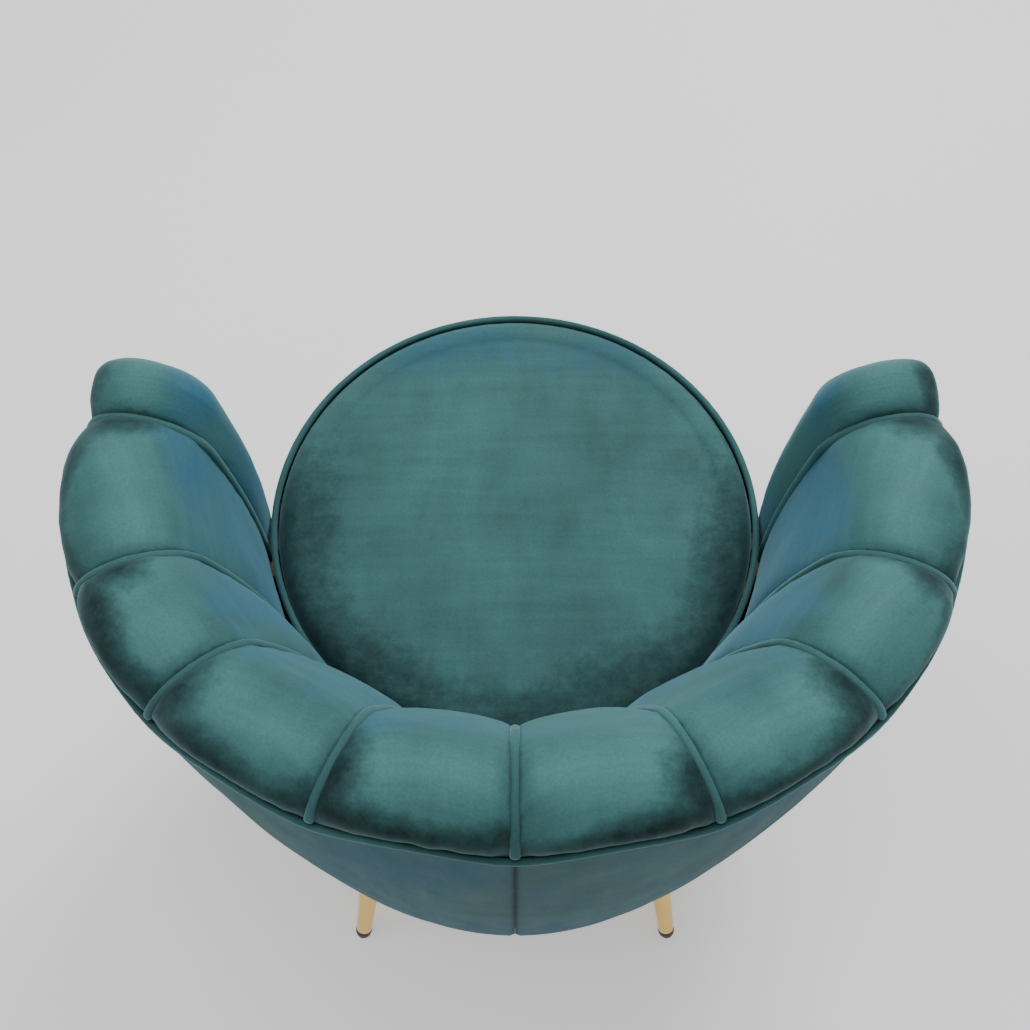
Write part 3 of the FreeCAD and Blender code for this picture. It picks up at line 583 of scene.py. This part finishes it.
def petal_cloth(number, side, share, width, j, spot, length):
    """How far the cloth stands out at a point: broad unevenness, pull at the seams, gathers."""
    if not VISIBLE_FIRST <= j <= VISIBLE_LAST:
        return 0.0
    to_seam = min(share, (1 - share) if number < ARM else 1.0) * width
    fade = rising(j, VISIBLE_FIRST, 8) * smooth((VISIBLE_LAST - j) / 3)
    broad = uneven(spot, scale=13.0, depth=0.0016, shift=(number, 3, side))
    broad += uneven(spot, scale=34.0, depth=0.0005, shift=(9, number, side))
    stitch = noise.noise(Vector((length * 62.0, number * 5.0, side * 3.0 + (share > 0.5) * 9)))
    pull = near(to_seam, width=0.016) * stitch * 0.0011
    gathers = noise.noise(Vector((share * width * 70.0, number * 7.0, side * 4.0)))
    gathers *= near(VISIBLE_LAST - j, width=9.0) * 0.0014 * smooth(to_seam / 0.008)
    return fade * (broad * smooth(to_seam / 0.03) + pull + gathers)


def petal_rings(number, side):
    low = SEAMS[number - 1]
    high = SEAMS[number]
    rings = []
    shares = []

    def ring_at(share, section):
        angle = low + share * (high - low)
        rings.append([place(angle, spot, side) for spot in petal_section(angle, *section)])
        shares.append(min(1.0, share))

    steps = PETAL_STEPS if number < ARM else ARM_STEPS
    for step in range(steps + 1):
        # Sections stand closer together near the seams, where the surface turns fastest
        share = 0.5 - 0.5 * math.cos(math.pi * step / steps)
        share = (1 - EVEN_SPACING) * share + EVEN_SPACING * step / steps
        ring_at(share, (fullness(share),) if number < ARM else arm_shape(share))
    if number == ARM:
        full, wide, _ = arm_shape(1.0)
        for share, inset in ARM_CAP:
            ring_at(share, (full, wide, inset))
    return rings, shares


def petal(number, side, material):
    rings, shares = petal_rings(number, side)
    normals = ring_normals(rings)
    half = len(rings) // 2
    middle = sum(rings[half], Vector()) / len(rings[half])
    away = rings[half][WALL_POINT] - middle
    outward = 1.0 if normals[half][WALL_POINT].dot(away) > 0 else -1.0
    moved = []
    nap = []
    shades = []
    for i, ring in enumerate(rings):
        share = shares[i]
        row = []
        uv = []
        tones = []
        length = 0.0
        for j, spot in enumerate(ring):
            if j:
                length += (spot - ring[j - 1]).length
            width = (rings[-1][j] - rings[0][j]).length
            amount = petal_cloth(number, side, share, width, j, spot, length)
            row.append(spot + normals[i][j] * (amount * outward))
            uv.append((share * width, length))
            tones.append(petal_shade(number, side, share, width, j, spot))
        moved.append(row)
        nap.append(uv)
        shades.append(tones)
    bm = skin(moved, nap=nap, shades=shades, flat_ends=True)
    obj = new_piece("petal_%s_%d" % (side_word(side), number), bm, material)


# Cords in the seams between the petals, and along the rim

SEAM_CORD_LIFT = WELT + 0.0004
SEAM_CORD_WIDE = 1.3
SEAM_CORD_STEPS = (44, 26, 14, 12)
SEAM_CORD_END = 0.8
RIM_CORD_WIDE = 1.1
RIM_CORD_RIPPLE = 0.0003
RIM_CORD_STEPS = 40
ARM_RIM_STEPS = 18
ARM_CORNER_STEPS = 3
ARM_CORD_STEPS = 36
ARM_CORD_START = 0.015
ARM_CORD_LOW = BOARD_TOP - 0.004
ARM_CORD_INSET = 0.0004
RELAX_ROUNDS = 3


def seam_cord(node, angle, side, material):
    arcs = petal_arcs(angle, 0.0, SEAM_CORD_LIFT)
    path = []
    for item, steps in zip(arcs, SEAM_CORD_STEPS):
        length = SEAM_CORD_END if item is arcs[-1] else 1.0
        for step in range(steps):
            path.append(place(angle, on_arc(item, length * step / steps), side))
    path.append(place(angle, on_arc(arcs[-1], SEAM_CORD_END), side))
    a = math.radians(angle)
    flat = Vector((side * math.sin(a), math.cos(a), 0))
    new_piece(node, cord(path, SEAM_CORD_WIDE, up=flat), material)


def rim_path():
    """Half of the rim cord's path: over the scallops, round the corner and down the arm's end."""
    spots = []
    for number in range(1, ARM + 1):
        steps = RIM_CORD_STEPS if number < ARM else ARM_RIM_STEPS
        used = steps if number < ARM else steps - ARM_CORNER_STEPS
        for _, (angle, full) in zip(range(used), span_of(number, steps)):
            spots.append(place(angle, (rim_reach(angle), scallop_height(angle, full))))
    cover = rim_cover(ARM_CORD_ANGLE, 1.0)
    top = cover.top[1]
    for step in range(ARM_CORD_STEPS + 1):
        share = ARM_CORD_START + (1 - ARM_CORD_START) * step / ARM_CORD_STEPS
        height = top + (ARM_CORD_LOW - top) * share
        spots.append(place(ARM_CORD_ANGLE, (cover.reach(height, ARM_CORD_INSET), height)))
    return spots


def relaxed(path):
    for _ in range(RELAX_ROUNDS):
        inner = [(a + b * 2 + c) / 4 for a, b, c in zip(path, path[1:], path[2:])]
        path = [path[0]] + inner + [path[-1]]
    return path


def rim_cord(material):
    half = rim_path()
    other = [Vector((-spot.x, spot.y, spot.z)) for spot in half[1:]]
    bm = cord(relaxed(other[::-1] + half), RIM_CORD_WIDE, ripple=RIM_CORD_RIPPLE)
    new_piece("rim_welt", bm, material)


# Outside cover and seat band: closed sheets with the wadding's slight unevenness

COVER_ROWS = 60
BAND_ROWS = 30
BAND_COLUMNS = 72
BAND_MEAN_REACH = 0.25
COVER_COLUMNS = 26
ARM_COVER_COLUMNS = 14
COVER_BODY_FULL = 0.7
CENTRE_GAP_ANGLE = 0.02


def sheet_section(outline, thick):
    """The outside line, then the same line back again one thickness further in."""
    inner = []
    for i, spot in enumerate(outline):
        before = outline[max(0, i - 1)]
        after = outline[min(len(outline) - 1, i + 1)]
        dx = after[0] - before[0]
        dz = after[1] - before[1]
        size = math.hypot(dx, dz)
        inner.append((spot[0] + dz / size * thick, spot[1] - dx / size * thick))
    return outline + inner[::-1]


def cover_cloth(angle, side, along, below, height):
    """How far the cover stands out at a point, and its painted shade, lighter clouds and blue tint
    there.
    """
    at = Vector((along * side, height, 0.0))
    # Gathers under the rim cord grow towards the arm
    gather = noise.noise(Vector((along * 85.0, side * 2.0, below * 12.0)))
    gather *= 0.0022 * (0.35 + 0.65 * rising(angle, start=70, width=30))
    under_rim = near(below, width=0.022) * smooth(below / 0.004)
    wave = uneven(at, scale=9.0, depth=0.0012)
    wave += uneven(at, scale=26.0, depth=0.00035, shift=(5, 1, 2))
    held = smooth(below / 0.05) * rising(height, BASE_HEIGHT, 0.03)
    # The centre-back seam: both halves turn in over the last few millimetres
    seam = near(along * 1000, width=1.6) * 0.0022
    amount = wave * held + under_rim * gather - seam
    cloud = uneven(at, scale=5.0, shift=(2, 8, side))
    # Painted shade under the rim cord, along the centre-back seam and low down where the cover
    # turns under the base
    tuck = near(below, width=0.010) * 0.85
    seam_shade = near(along, width=0.003) * 0.6
    shade_near_base = 0.55 * smooth((BASE_HEIGHT + 0.03 - height) / 0.03)
    blue = min(1.0, max(0.0, 0.35 + 1.5 * cloud))
    return amount, (max(tuck, seam_shade, shade_near_base), 0.35 * max(0.0, cloud), blue)


def cover_half(side, material):
    columns = []
    for number in range(1, ARM + 1):
        steps = COVER_COLUMNS if number < ARM else ARM_COVER_COLUMNS
        spans = list(span_of(number, steps))
        columns += spans if number == ARM else spans[:-1]
    rings = []
    nap = []
    shades = []
    for angle, full in columns:
        edge = rim_cover(angle, full).top
        along = math.radians(angle) * rim_reach(angle)
        spots = []
        uv = []
        tones = []
        for reach, height in rim_cover(angle, COVER_BODY_FULL).outline(COVER_ROWS, edge):
            amount, shade = cover_cloth(angle, side, along, edge[1] - height, height)
            spots.append((reach + amount, height))
            uv.append((along, RIM_HEIGHT - height))
            tones.append(shade)
        section = sheet_section(spots, COVER)
        rings.append([place(max(angle, CENTRE_GAP_ANGLE), spot, side) for spot in section])
        nap.append(uv + uv[::-1])
        shades.append(tones + tones[::-1])
    bm = skin(rings, nap=nap, shades=shades)
    new_piece("outside_back_" + side_word(side), bm, material)


def seat_band(material):
    rings = []
    nap = []
    for step in range(BAND_COLUMNS + 1):
        angle = BAND_START + (360 - 2 * BAND_START) * step / BAND_COLUMNS
        turn = math.radians(angle)
        along = turn * BAND_MEAN_REACH
        spots = []
        uv = []
        for reach, height in seat_cover(angle).outline(BAND_ROWS):
            below = SEAT_HEIGHT - height
            gather = noise.noise(Vector((turn * 22.0, 1.0, below * 12.0))) * 0.0012
            gather *= near(below, width=0.02) * rising(below, start=0.004, width=0.004)
            held = smooth(below / 0.04) * rising(height, BASE_HEIGHT, 0.03)
            wave = uneven(Vector((along, height, 4.0)), scale=12.0, depth=0.0010)
            spots.append((reach + wave * held + gather, height))
            uv.append((along, below))
        rings.append([place(angle, spot) for spot in sheet_section(spots, COVER)])
        nap.append(uv + uv[::-1])
    new_piece("seat_band", skin(rings, nap=nap), material)


# Seat cushion and its cord

CUSHION_EDGE = SEAT_RADIUS - 2 * WELT - 0.001
CUSHION_BEVEL = 0.009
CUSHION_SHOULDER = 0.030
SHOULDER_SHARE = 0.62
SHOULDER_DROP = 0.0015
CROWN_POWER = 2.2
CUSHION_COLUMNS = 160
CUSHION_SIDE_TOP = SEAT_HEIGHT - 0.008
UNDERSIDE = (0.02, 0.10, 0.18, CUSHION_EDGE - CUSHION_BEVEL)
BEVEL_START = 0.018
BEVEL_HEIGHT = 0.02
SIDE_STEPS = 6
ROLL_STEPS = 14
CROWN_STEPS = 37


def cushion_profile(low):
    """Radius and height from under the middle, up the side and over the crown."""
    profile = [(radius, low) for radius in UNDERSIDE]
    profile.append((CUSHION_EDGE - CUSHION_BEVEL, low + BEVEL_START))
    for step in range(1, SIDE_STEPS + 1):
        share = step / SIDE_STEPS
        profile.append((CUSHION_EDGE - CUSHION_BEVEL * (1 - share) ** 2,
                        low + BEVEL_START + BEVEL_HEIGHT * share))
    side_low = low + BEVEL_START + BEVEL_HEIGHT
    for step in range(1, SIDE_STEPS + 1):
        profile.append((CUSHION_EDGE, side_low + (CUSHION_SIDE_TOP - side_low) * step / SIDE_STEPS))
    crown = SEAT_HEIGHT + SEAT_CROWN
    shoulder = (CUSHION_EDGE - CUSHION_SHOULDER,
                SEAT_HEIGHT + SHOULDER_SHARE * SEAT_CROWN - SHOULDER_DROP)
    start = (-CUSHION_EDGE, CUSHION_SIDE_TOP)
    roll = clockwise_arc(start, math.pi / 2, (-shoulder[0], shoulder[1]))
    for step in range(1, ROLL_STEPS + 1):
        spot = on_arc(roll, step / ROLL_STEPS)
        profile.append((-spot[0], spot[1]))
    for step in range(1, CROWN_STEPS):
        share = 1 - step / CROWN_STEPS
        drop = (crown - shoulder[1]) * share ** CROWN_POWER
        profile.append((shoulder[0] * share, crown - drop))
    return profile


def cushion_cloth(out, at, to_edge):
    """How far the seat's cloth stands up: soft hollows, and the pull of the edge's stitches."""
    flat = Vector((out.x, out.y, 0.0))
    rise = uneven(flat, scale=7.0, depth=0.0022, shift=(0, 0, 1))
    rise += uneven(flat, scale=20.0, depth=0.0005, shift=(0, 0, 6))
    pull = uneven(at, scale=21.0, depth=0.0009, shift=(0, 0, 5))
    return rise * smooth(to_edge / 0.05) + pull * near(to_edge, width=0.016)


def cushion_shade(out, to_edge):
    """Painted shade round the rear edge and along the cord, an uneven lighter middle, and a little
    blue at the front.
    """
    drift = uneven(Vector((out.x, out.y, 0.0)), scale=9.0, shift=(0, 0, 3))
    rear = rising(out.y, start=-0.16, width=0.20)
    # Painted shade round the edge, deepest at the rear, and in a thin line beside the cord
    rim = smooth((0.095 - to_edge - 0.03 * drift) / 0.085)
    line = near(to_edge, width=0.006) * 0.7
    light = max(0.0, 0.45 * (1 - rim) * (0.6 + drift))
    blue = 0.5 * rising(-out.y, start=0.12, width=0.1) * smooth(0.5 + 2 * drift)
    return max(line, rim * rear * 0.74), light, blue


def cushion(material):
    rings = []
    nap = []
    shades = []
    for radius, level in cushion_profile(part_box("seat_cushion")[0][2]):
        to_edge = CUSHION_EDGE - radius
        ring = []
        uv = []
        tones = []
        for j in range(CUSHION_COLUMNS):
            turn = 2 * math.pi * j / CUSHION_COLUMNS
            at = Vector((math.cos(turn), math.sin(turn), 0))
            out = at * radius
            height = level
            if level > SEAT_HEIGHT - 0.01:
                height += cushion_cloth(out, at, to_edge)
            ring.append(Vector((out.x, out.y + SEAT_Y + SHIFT_Y, height)))
            uv.append((out.x, out.y))
            tones.append(cushion_shade(out, to_edge))
        rings.append(ring)
        nap.append(uv)
        shades.append(tones)
    obj = new_piece("seat_cushion", skin(rings, nap=nap, shades=shades), material)


SEAT_CORD_STEPS = 220


def seat_cord(material):
    path = []
    reach = SEAT_RADIUS - WELT
    for step in range(SEAT_CORD_STEPS):
        turn = 2 * math.pi * step / SEAT_CORD_STEPS
        y = SEAT_Y + SHIFT_Y + reach * math.sin(turn)
        path.append(Vector((reach * math.cos(turn), y, SEAT_HEIGHT)))
    new_piece("seat_welt", cord(path, closed=True), material)


# Nodes for the materials

BLACK = (0, 0, 0, 1)


def grey(level):
    return (level, level, level, 1)


def new_material(name):
    material = bpy.data.materials.new(name)
    material.use_nodes = True
    tree = material.node_tree
    return material, tree, tree.nodes["Principled BSDF"]


def set_inputs(node, **values):
    """Fixed values for a node's sockets, named with _ in place of each blank."""
    for key, value in values.items():
        node.inputs[key.replace("_", " ")].default_value = value


def add(tree, kind, **values):
    node = tree.nodes.new(kind)
    for key, value in values.items():
        setattr(node, key, value)
    return node


def object_place(tree):
    return add(tree, "ShaderNodeTexCoord").outputs["Object"]


def noise_node(tree, source, scale, detail=3.0, roughness=0.5, stretch=None):
    out = source
    if stretch:
        mapping = add(tree, "ShaderNodeMapping")
        set_inputs(mapping, Scale=stretch)
        tree.links.new(source, mapping.inputs["Vector"])
        out = mapping.outputs["Vector"]
    node = add(tree, "ShaderNodeTexNoise")
    set_inputs(node, Scale=scale, Detail=detail, Roughness=roughness)
    tree.links.new(out, node.inputs["Vector"])
    return node.outputs["Fac"]


def ramp(tree, source, *stops):
    node = add(tree, "ShaderNodeValToRGB")
    elements = node.color_ramp.elements
    elements[0].position, elements[0].color = stops[0]
    elements[1].position, elements[1].color = stops[-1]
    for position, colour in stops[1:-1]:
        element = elements.new(position)
        element.color = colour
    tree.links.new(source, node.inputs["Fac"])
    return node.outputs["Color"]


def mix(tree, kind, share, a, b):
    node = add(tree, "ShaderNodeMix", data_type="RGBA", blend_type=kind)
    if isinstance(share, float):
        set_inputs(node, Factor=share)
    else:
        tree.links.new(share, node.inputs["Factor"])
    tree.links.new(a, node.inputs["A"])
    tree.links.new(b, node.inputs["B"])
    return node.outputs["Result"]


def bump(tree, shader, *layers):
    normal = None
    for height, strength, distance in layers:
        node = add(tree, "ShaderNodeBump")
        set_inputs(node, Strength=strength, Distance=distance)
        tree.links.new(height, node.inputs["Height"])
        if normal:
            tree.links.new(normal, node.inputs["Normal"])
        normal = node.outputs["Normal"]
    tree.links.new(normal, shader.inputs["Normal"])


def scaled(tree, value, factor, offset=0.0):
    node = add(tree, "ShaderNodeMath", operation="MULTIPLY_ADD")
    tree.links.new(value, node.inputs[0])
    node.inputs[1].default_value = factor
    node.inputs[2].default_value = offset
    return node.outputs["Value"]


def total(tree, a, b):
    node = add(tree, "ShaderNodeMath", operation="ADD", use_clamp=True)
    tree.links.new(a, node.inputs[0])
    tree.links.new(b, node.inputs[1])
    return node.outputs["Value"]


def tint(tree, colour):
    node = add(tree, "ShaderNodeRGB")
    node.outputs[0].default_value = colour
    return node.outputs["Color"]


# Materials

def velvet(name, middle, dark, light, blue, sheen):
    """Short pile over uneven clouds of tone; the vertex colours lay on painted shade, a lighter
    tone that is painted highlight on the petals, and a blue tint.
    """
    material, tree, shader = new_material(name)
    place_at = object_place(tree)
    along = add(tree, "ShaderNodeUVMap", uv_map="nap").outputs["UV"]
    shade_highlight_tint = add(tree, "ShaderNodeVertexColor", layer_name="shade_highlight_tint")
    parts = add(tree, "ShaderNodeSeparateColor")
    tree.links.new(shade_highlight_tint.outputs["Color"], parts.inputs["Color"])
    broad = noise_node(tree, place_at, 7.0, 3.0, 0.55)
    mottle = noise_node(tree, place_at, 80.0, 6.0, 0.72)
    strokes = noise_node(tree, along, 34.0, 4.0, 0.62, (1.0, 0.28, 1.0))
    cross = noise_node(tree, along, 60.0, 3.0, 0.6, (0.12, 1.4, 1.0))
    fine = noise_node(tree, place_at, 420.0, 3.0, 0.7)
    pile = noise_node(tree, place_at, 1700.0, 2.0, 0.5)
    # Broad clouds of lighter and darker pile over the base colour
    clouds = total(tree, scaled(tree, broad, 0.75), scaled(tree, strokes, 0.25))
    darker = tuple(0.66 * a + 0.34 * b for a, b in zip(middle, dark))
    lighter = tuple(0.55 * a + 0.45 * b for a, b in zip(middle, light))
    base = ramp(tree, clouds, (0.30, darker), (0.5, middle), (0.72, lighter))
    soft = scaled(tree, strokes, 0.8, -0.4)
    # Lighter tone from the green channel: painted highlight on the petals, lighter clouds on the
    # cover, a lighter middle on the seat
    lit = total(tree, parts.outputs["Green"], scaled(tree, soft, 0.6))
    share = ramp(tree, lit, (0.25, BLACK), (1.0, grey(0.55)))
    base = mix(tree, "MIX", share, base, tint(tree, light))
    bluish = total(tree, parts.outputs["Blue"], scaled(tree, soft, 0.8))
    share = ramp(tree, bluish, (0.15, BLACK), (0.95, grey(0.85)))
    base = mix(tree, "MIX", share, base, tint(tree, blue))
    # Painted shade from the red channel, with ragged edges
    ragged = total(tree, parts.outputs["Red"], scaled(tree, mottle, 0.75, -0.39))
    share = ramp(tree, ragged, (0.18, BLACK), (0.50, grey(0.50)), (0.95, grey(1)))
    base = mix(tree, "MIX", share, base, tint(tree, dark))
    weave = ramp(tree, cross, (0.3, grey(0.90)), (0.7, grey(1.09)))
    base = mix(tree, "MULTIPLY", 0.8, base, weave)
    grain = ramp(tree, fine, (0.3, grey(0.84)), (0.7, grey(1.14)))
    base = mix(tree, "MULTIPLY", 0.7, base, grain)
    tree.links.new(base, shader.inputs["Base Color"])
    rough = ramp(tree, strokes, (0.3, grey(0.66)), (0.7, grey(0.88)))
    tree.links.new(rough, shader.inputs["Roughness"])
    set_inputs(shader, Specular_IOR_Level=0.16, Sheen_Weight=sheen, Sheen_Roughness=0.42,
               Sheen_Tint=(0.45, 0.85, 0.90, 1))
    bump(tree, shader, (mottle, 0.10, 0.0016), (fine, 0.22, 0.0006), (pile, 0.22, 0.0003))
    return material


def gold():
    material, tree, shader = new_material("gold_plating")
    place_at = object_place(tree)
    cloud = noise_node(tree, place_at, 9.0, 3.0, 0.5)
    colour = ramp(tree, cloud, (0.3, (0.80, 0.50, 0.15, 1)), (0.7, (0.92, 0.66, 0.25, 1)))
    tree.links.new(colour, shader.inputs["Base Color"])
    set_inputs(shader, Metallic=1.0)
    wipe = noise_node(tree, place_at, 60.0, 3.0, 0.6, (1.0, 1.0, 0.15))
    rough = ramp(tree, wipe, (0.3, grey(0.035)), (0.8, grey(0.09)))
    tree.links.new(rough, shader.inputs["Roughness"])
    fine = noise_node(tree, place_at, 900.0, 2.0, 0.5, (1.0, 1.0, 0.1))
    bump(tree, shader, (fine, 0.03, 0.0002))
    return material


def plain(name, low, high, rough, metal=0.0, scale=60.0, stretch=None, depth=0.15):
    material, tree, shader = new_material(name)
    place_at = object_place(tree)
    cloud = noise_node(tree, place_at, scale, 5.0, 0.6, stretch)
    tree.links.new(ramp(tree, cloud, (0.3, low), (0.7, high)), shader.inputs["Base Color"])
    level = ramp(tree, cloud, (0.3, grey(rough - 0.08)), (0.7, grey(rough + 0.08)))
    tree.links.new(level, shader.inputs["Roughness"])
    set_inputs(shader, Metallic=metal)
    fine = noise_node(tree, place_at, scale * 9, 3.0, 0.6, stretch)
    bump(tree, shader, (fine, depth, 0.0005))
    return material


def woven(name, dark, light, pitch):
    material, tree, shader = new_material(name)
    place_at = object_place(tree)
    threads = []
    for axis in ("X", "Y"):
        wave = add(tree, "ShaderNodeTexWave", wave_type="BANDS", bands_direction=axis)
        set_inputs(wave, Scale=1.0 / pitch / 2, Distortion=0.6)
        tree.links.new(place_at, wave.inputs["Vector"])
        threads.append(wave.outputs["Fac"])
    cross = add(tree, "ShaderNodeMath", operation="MULTIPLY")
    tree.links.new(threads[0], cross.inputs[0])
    tree.links.new(threads[1], cross.inputs[1])
    height = cross.outputs["Value"]
    tree.links.new(ramp(tree, height, (0.1, dark), (0.8, light)), shader.inputs["Base Color"])
    set_inputs(shader, Roughness=0.9)
    bump(tree, shader, (height, 0.3, 0.0006))
    return material


DEEP = (0.0045, 0.0165, 0.0180, 1)
BRIGHT = (0.095, 0.260, 0.260, 1)
BLUISH = (0.028, 0.130, 0.235, 1)
petal_velvet = velvet("petal_velvet", (0.052, 0.150, 0.152, 1), DEEP, BRIGHT, BLUISH, 0.36)
seat_velvet = velvet("seat_velvet", (0.056, 0.152, 0.153, 1), DEEP, BRIGHT, BLUISH, 0.4)
# The outside back and seat band get a darker, bluer copy of the velvet: partly the cloth's own
# tone, partly painted shade, with little sheen
shaded_back_velvet = velvet("shaded_back_velvet", (0.034, 0.104, 0.112, 1), DEEP, (0.060, 0.160, 0.165, 1),
                     (0.026, 0.088, 0.124, 1), 0.05)
cord_velvet = velvet("cord_velvet", (0.045, 0.130, 0.134, 1), DEEP, BRIGHT, BLUISH, 0.5)

# Materials of the solids that stay as the frame has them, by the record's slots
CARRIED = {
    "gold_metal": gold(),
    "glide_plastic": plain("glide_plastic", (0.020, 0.008, 0.004, 1), (0.045, 0.018, 0.008, 1),
                           0.42, scale=90.0),
    "plywood": plain("plywood", (0.42, 0.27, 0.14, 1), (0.62, 0.44, 0.25, 1),
                     0.62, scale=14.0, stretch=(1, 6, 30)),
    "plain_steel": plain("plain_steel", (0.36, 0.37, 0.38, 1), (0.52, 0.52, 0.53, 1),
                         0.38, 1.0, scale=120.0),
    "felt": plain("felt", (0.12, 0.12, 0.11, 1), (0.24, 0.24, 0.22, 1),
                  0.92, scale=140.0, depth=0.5),
    "webbing": woven("webbing", (0.010, 0.009, 0.008, 1), (0.045, 0.040, 0.036, 1), 0.0016),
    "base_cloth": woven("base_cloth", (0.004, 0.004, 0.004, 1), (0.016, 0.016, 0.017, 1), 0.0012),
}
SLOT_OF = {row["node"]: row["material_slot"] for row in frame["record"]["subparts"]}
for node, obj in NODES.items():
    if SLOT_OF.get(node) in CARRIED:
        obj.data.materials.clear()
        obj.data.materials.append(CARRIED[SLOT_OF[node]])


# Pieces

for side in (1, -1):
    for number in range(1, ARM + 1):
        petal(number, side, petal_velvet)
    for number in range(1, ARM):
        node = "channel_welt_%s_%d" % (side_word(side), number)
        seam_cord(node, SEAMS[number], side, cord_velvet)
    cover_half(side, shaded_back_velvet)
seam_cord("channel_welt_centre", 0.0, 1, cord_velvet)
rim_cord(cord_velvet)
seat_band(shaded_back_velvet)
cushion(seat_velvet)
seat_cord(cord_velvet)


# Stage and lights

FLOOR_SIZE = 14.0
FLOOR_HEIGHT = -0.0005
FLOOR_GLOW = 0.46


def stage():
    bpy.ops.mesh.primitive_plane_add(size=FLOOR_SIZE, location=(0, 0, FLOOR_HEIGHT))
    floor = bpy.context.object
    floor.name = "floor"
    material, tree, shader = new_material("pale_floor")
    cloud = noise_node(tree, object_place(tree), 3.0)
    colour = ramp(tree, cloud, (0.2, grey(0.88)), (0.8, grey(0.91)))
    tree.links.new(colour, shader.inputs["Base Color"])
    set_inputs(shader, Roughness=0.8, Emission_Color=grey(1.0), Emission_Strength=FLOOR_GLOW)
    floor.data.materials.append(material)


def softbox(name, spot, aim, size, power):
    light = bpy.data.lights.new(name, "AREA")
    light.shape = "RECTANGLE"
    light.size = size[0]
    light.size_y = size[1]
    light.energy = power
    obj = bpy.data.objects.new(name, light)
    bpy.context.scene.collection.objects.link(obj)
    obj.location = spot
    obj.rotation_euler = (Vector(aim) - Vector(spot)).to_track_quat("-Z", "Y").to_euler()


# Gaps between the studio's walls, as shares of a turn, with their soft edges
GAP_STARTS = (0.09, 0.30, 0.47, 0.66, 0.86)
GAP_EDGE = 0.012
GAP_WIDTH = 0.055
WORLD_STRENGTH = 0.36
SEEN_BRIGHTNESS = 1.9


def studio_world():
    """A pale studio: light walls with darker gaps between them, which the gold legs mirror."""
    world = bpy.data.worlds.new("studio")
    world.use_nodes = True
    tree = world.node_tree
    way = add(tree, "ShaderNodeTexCoord").outputs["Generated"]
    around = add(tree, "ShaderNodeTexGradient", gradient_type="RADIAL")
    tree.links.new(way, around.inputs["Vector"])
    white = grey(1.0)
    gap = grey(0.02)
    stops = [(0.0, white)]
    for start in GAP_STARTS:
        stops += [(start, white), (start + GAP_EDGE, gap)]
        stops += [(start + GAP_WIDTH, gap), (start + GAP_WIDTH + GAP_EDGE, white)]
    walls = ramp(tree, around.outputs["Color"], *stops, (1.0, white))
    split = add(tree, "ShaderNodeSeparateXYZ")
    tree.links.new(way, split.inputs["Vector"])
    ceiling = ramp(tree, split.outputs["Z"], (0.45, BLACK), (0.7, white))
    lit = mix(tree, "MIX", ceiling, walls, tint(tree, white))
    # Behind the chair the walls look plain and pale
    seen = add(tree, "ShaderNodeLightPath").outputs["Is Camera Ray"]
    lit = mix(tree, "MIX", seen, lit, tint(tree, grey(SEEN_BRIGHTNESS)))
    background = tree.nodes["Background"]
    tree.links.new(lit, background.inputs["Color"])
    set_inputs(background, Strength=WORLD_STRENGTH)
    bpy.context.scene.world = world


stage()
softbox("key", (-0.9, -1.7, 2.6), (0, 0, 0.45), (1.2, 1.2), 50)
softbox("top", (0.3, 0.0, 3.0), (0, 0, 0.4), (1.6, 1.6), 22)
softbox("side", (2.4, 0.3, 1.4), (0, 0, 0.4), (1.2, 1.6), 10)
softbox("low_back", (-0.8, 3.0, 1.1), (0, 0, 0.4), (2.0, 1.2), 5)
studio_world()


# Camera: the photograph's left part looks down on the chair from behind

CAMERA_Y = 0.7213
CAMERA_Z = 1.9578
CAMERA_PITCH = 63.0
PHOTO_FOCAL = 1700.0
PHOTO_SIDE = 1030.0
SENSOR = 36.0

camera_data = bpy.data.cameras.new("camera")
camera_data.sensor_width = SENSOR
camera_data.lens = SENSOR * PHOTO_FOCAL / PHOTO_SIDE
camera = bpy.data.objects.new("camera", camera_data)
bpy.context.scene.collection.objects.link(camera)
camera.location = (0, CAMERA_Y + SHIFT_Y, CAMERA_Z)
camera.rotation_euler = (math.radians(90 - CAMERA_PITCH), 0, math.radians(180))
bpy.context.scene.camera = camera
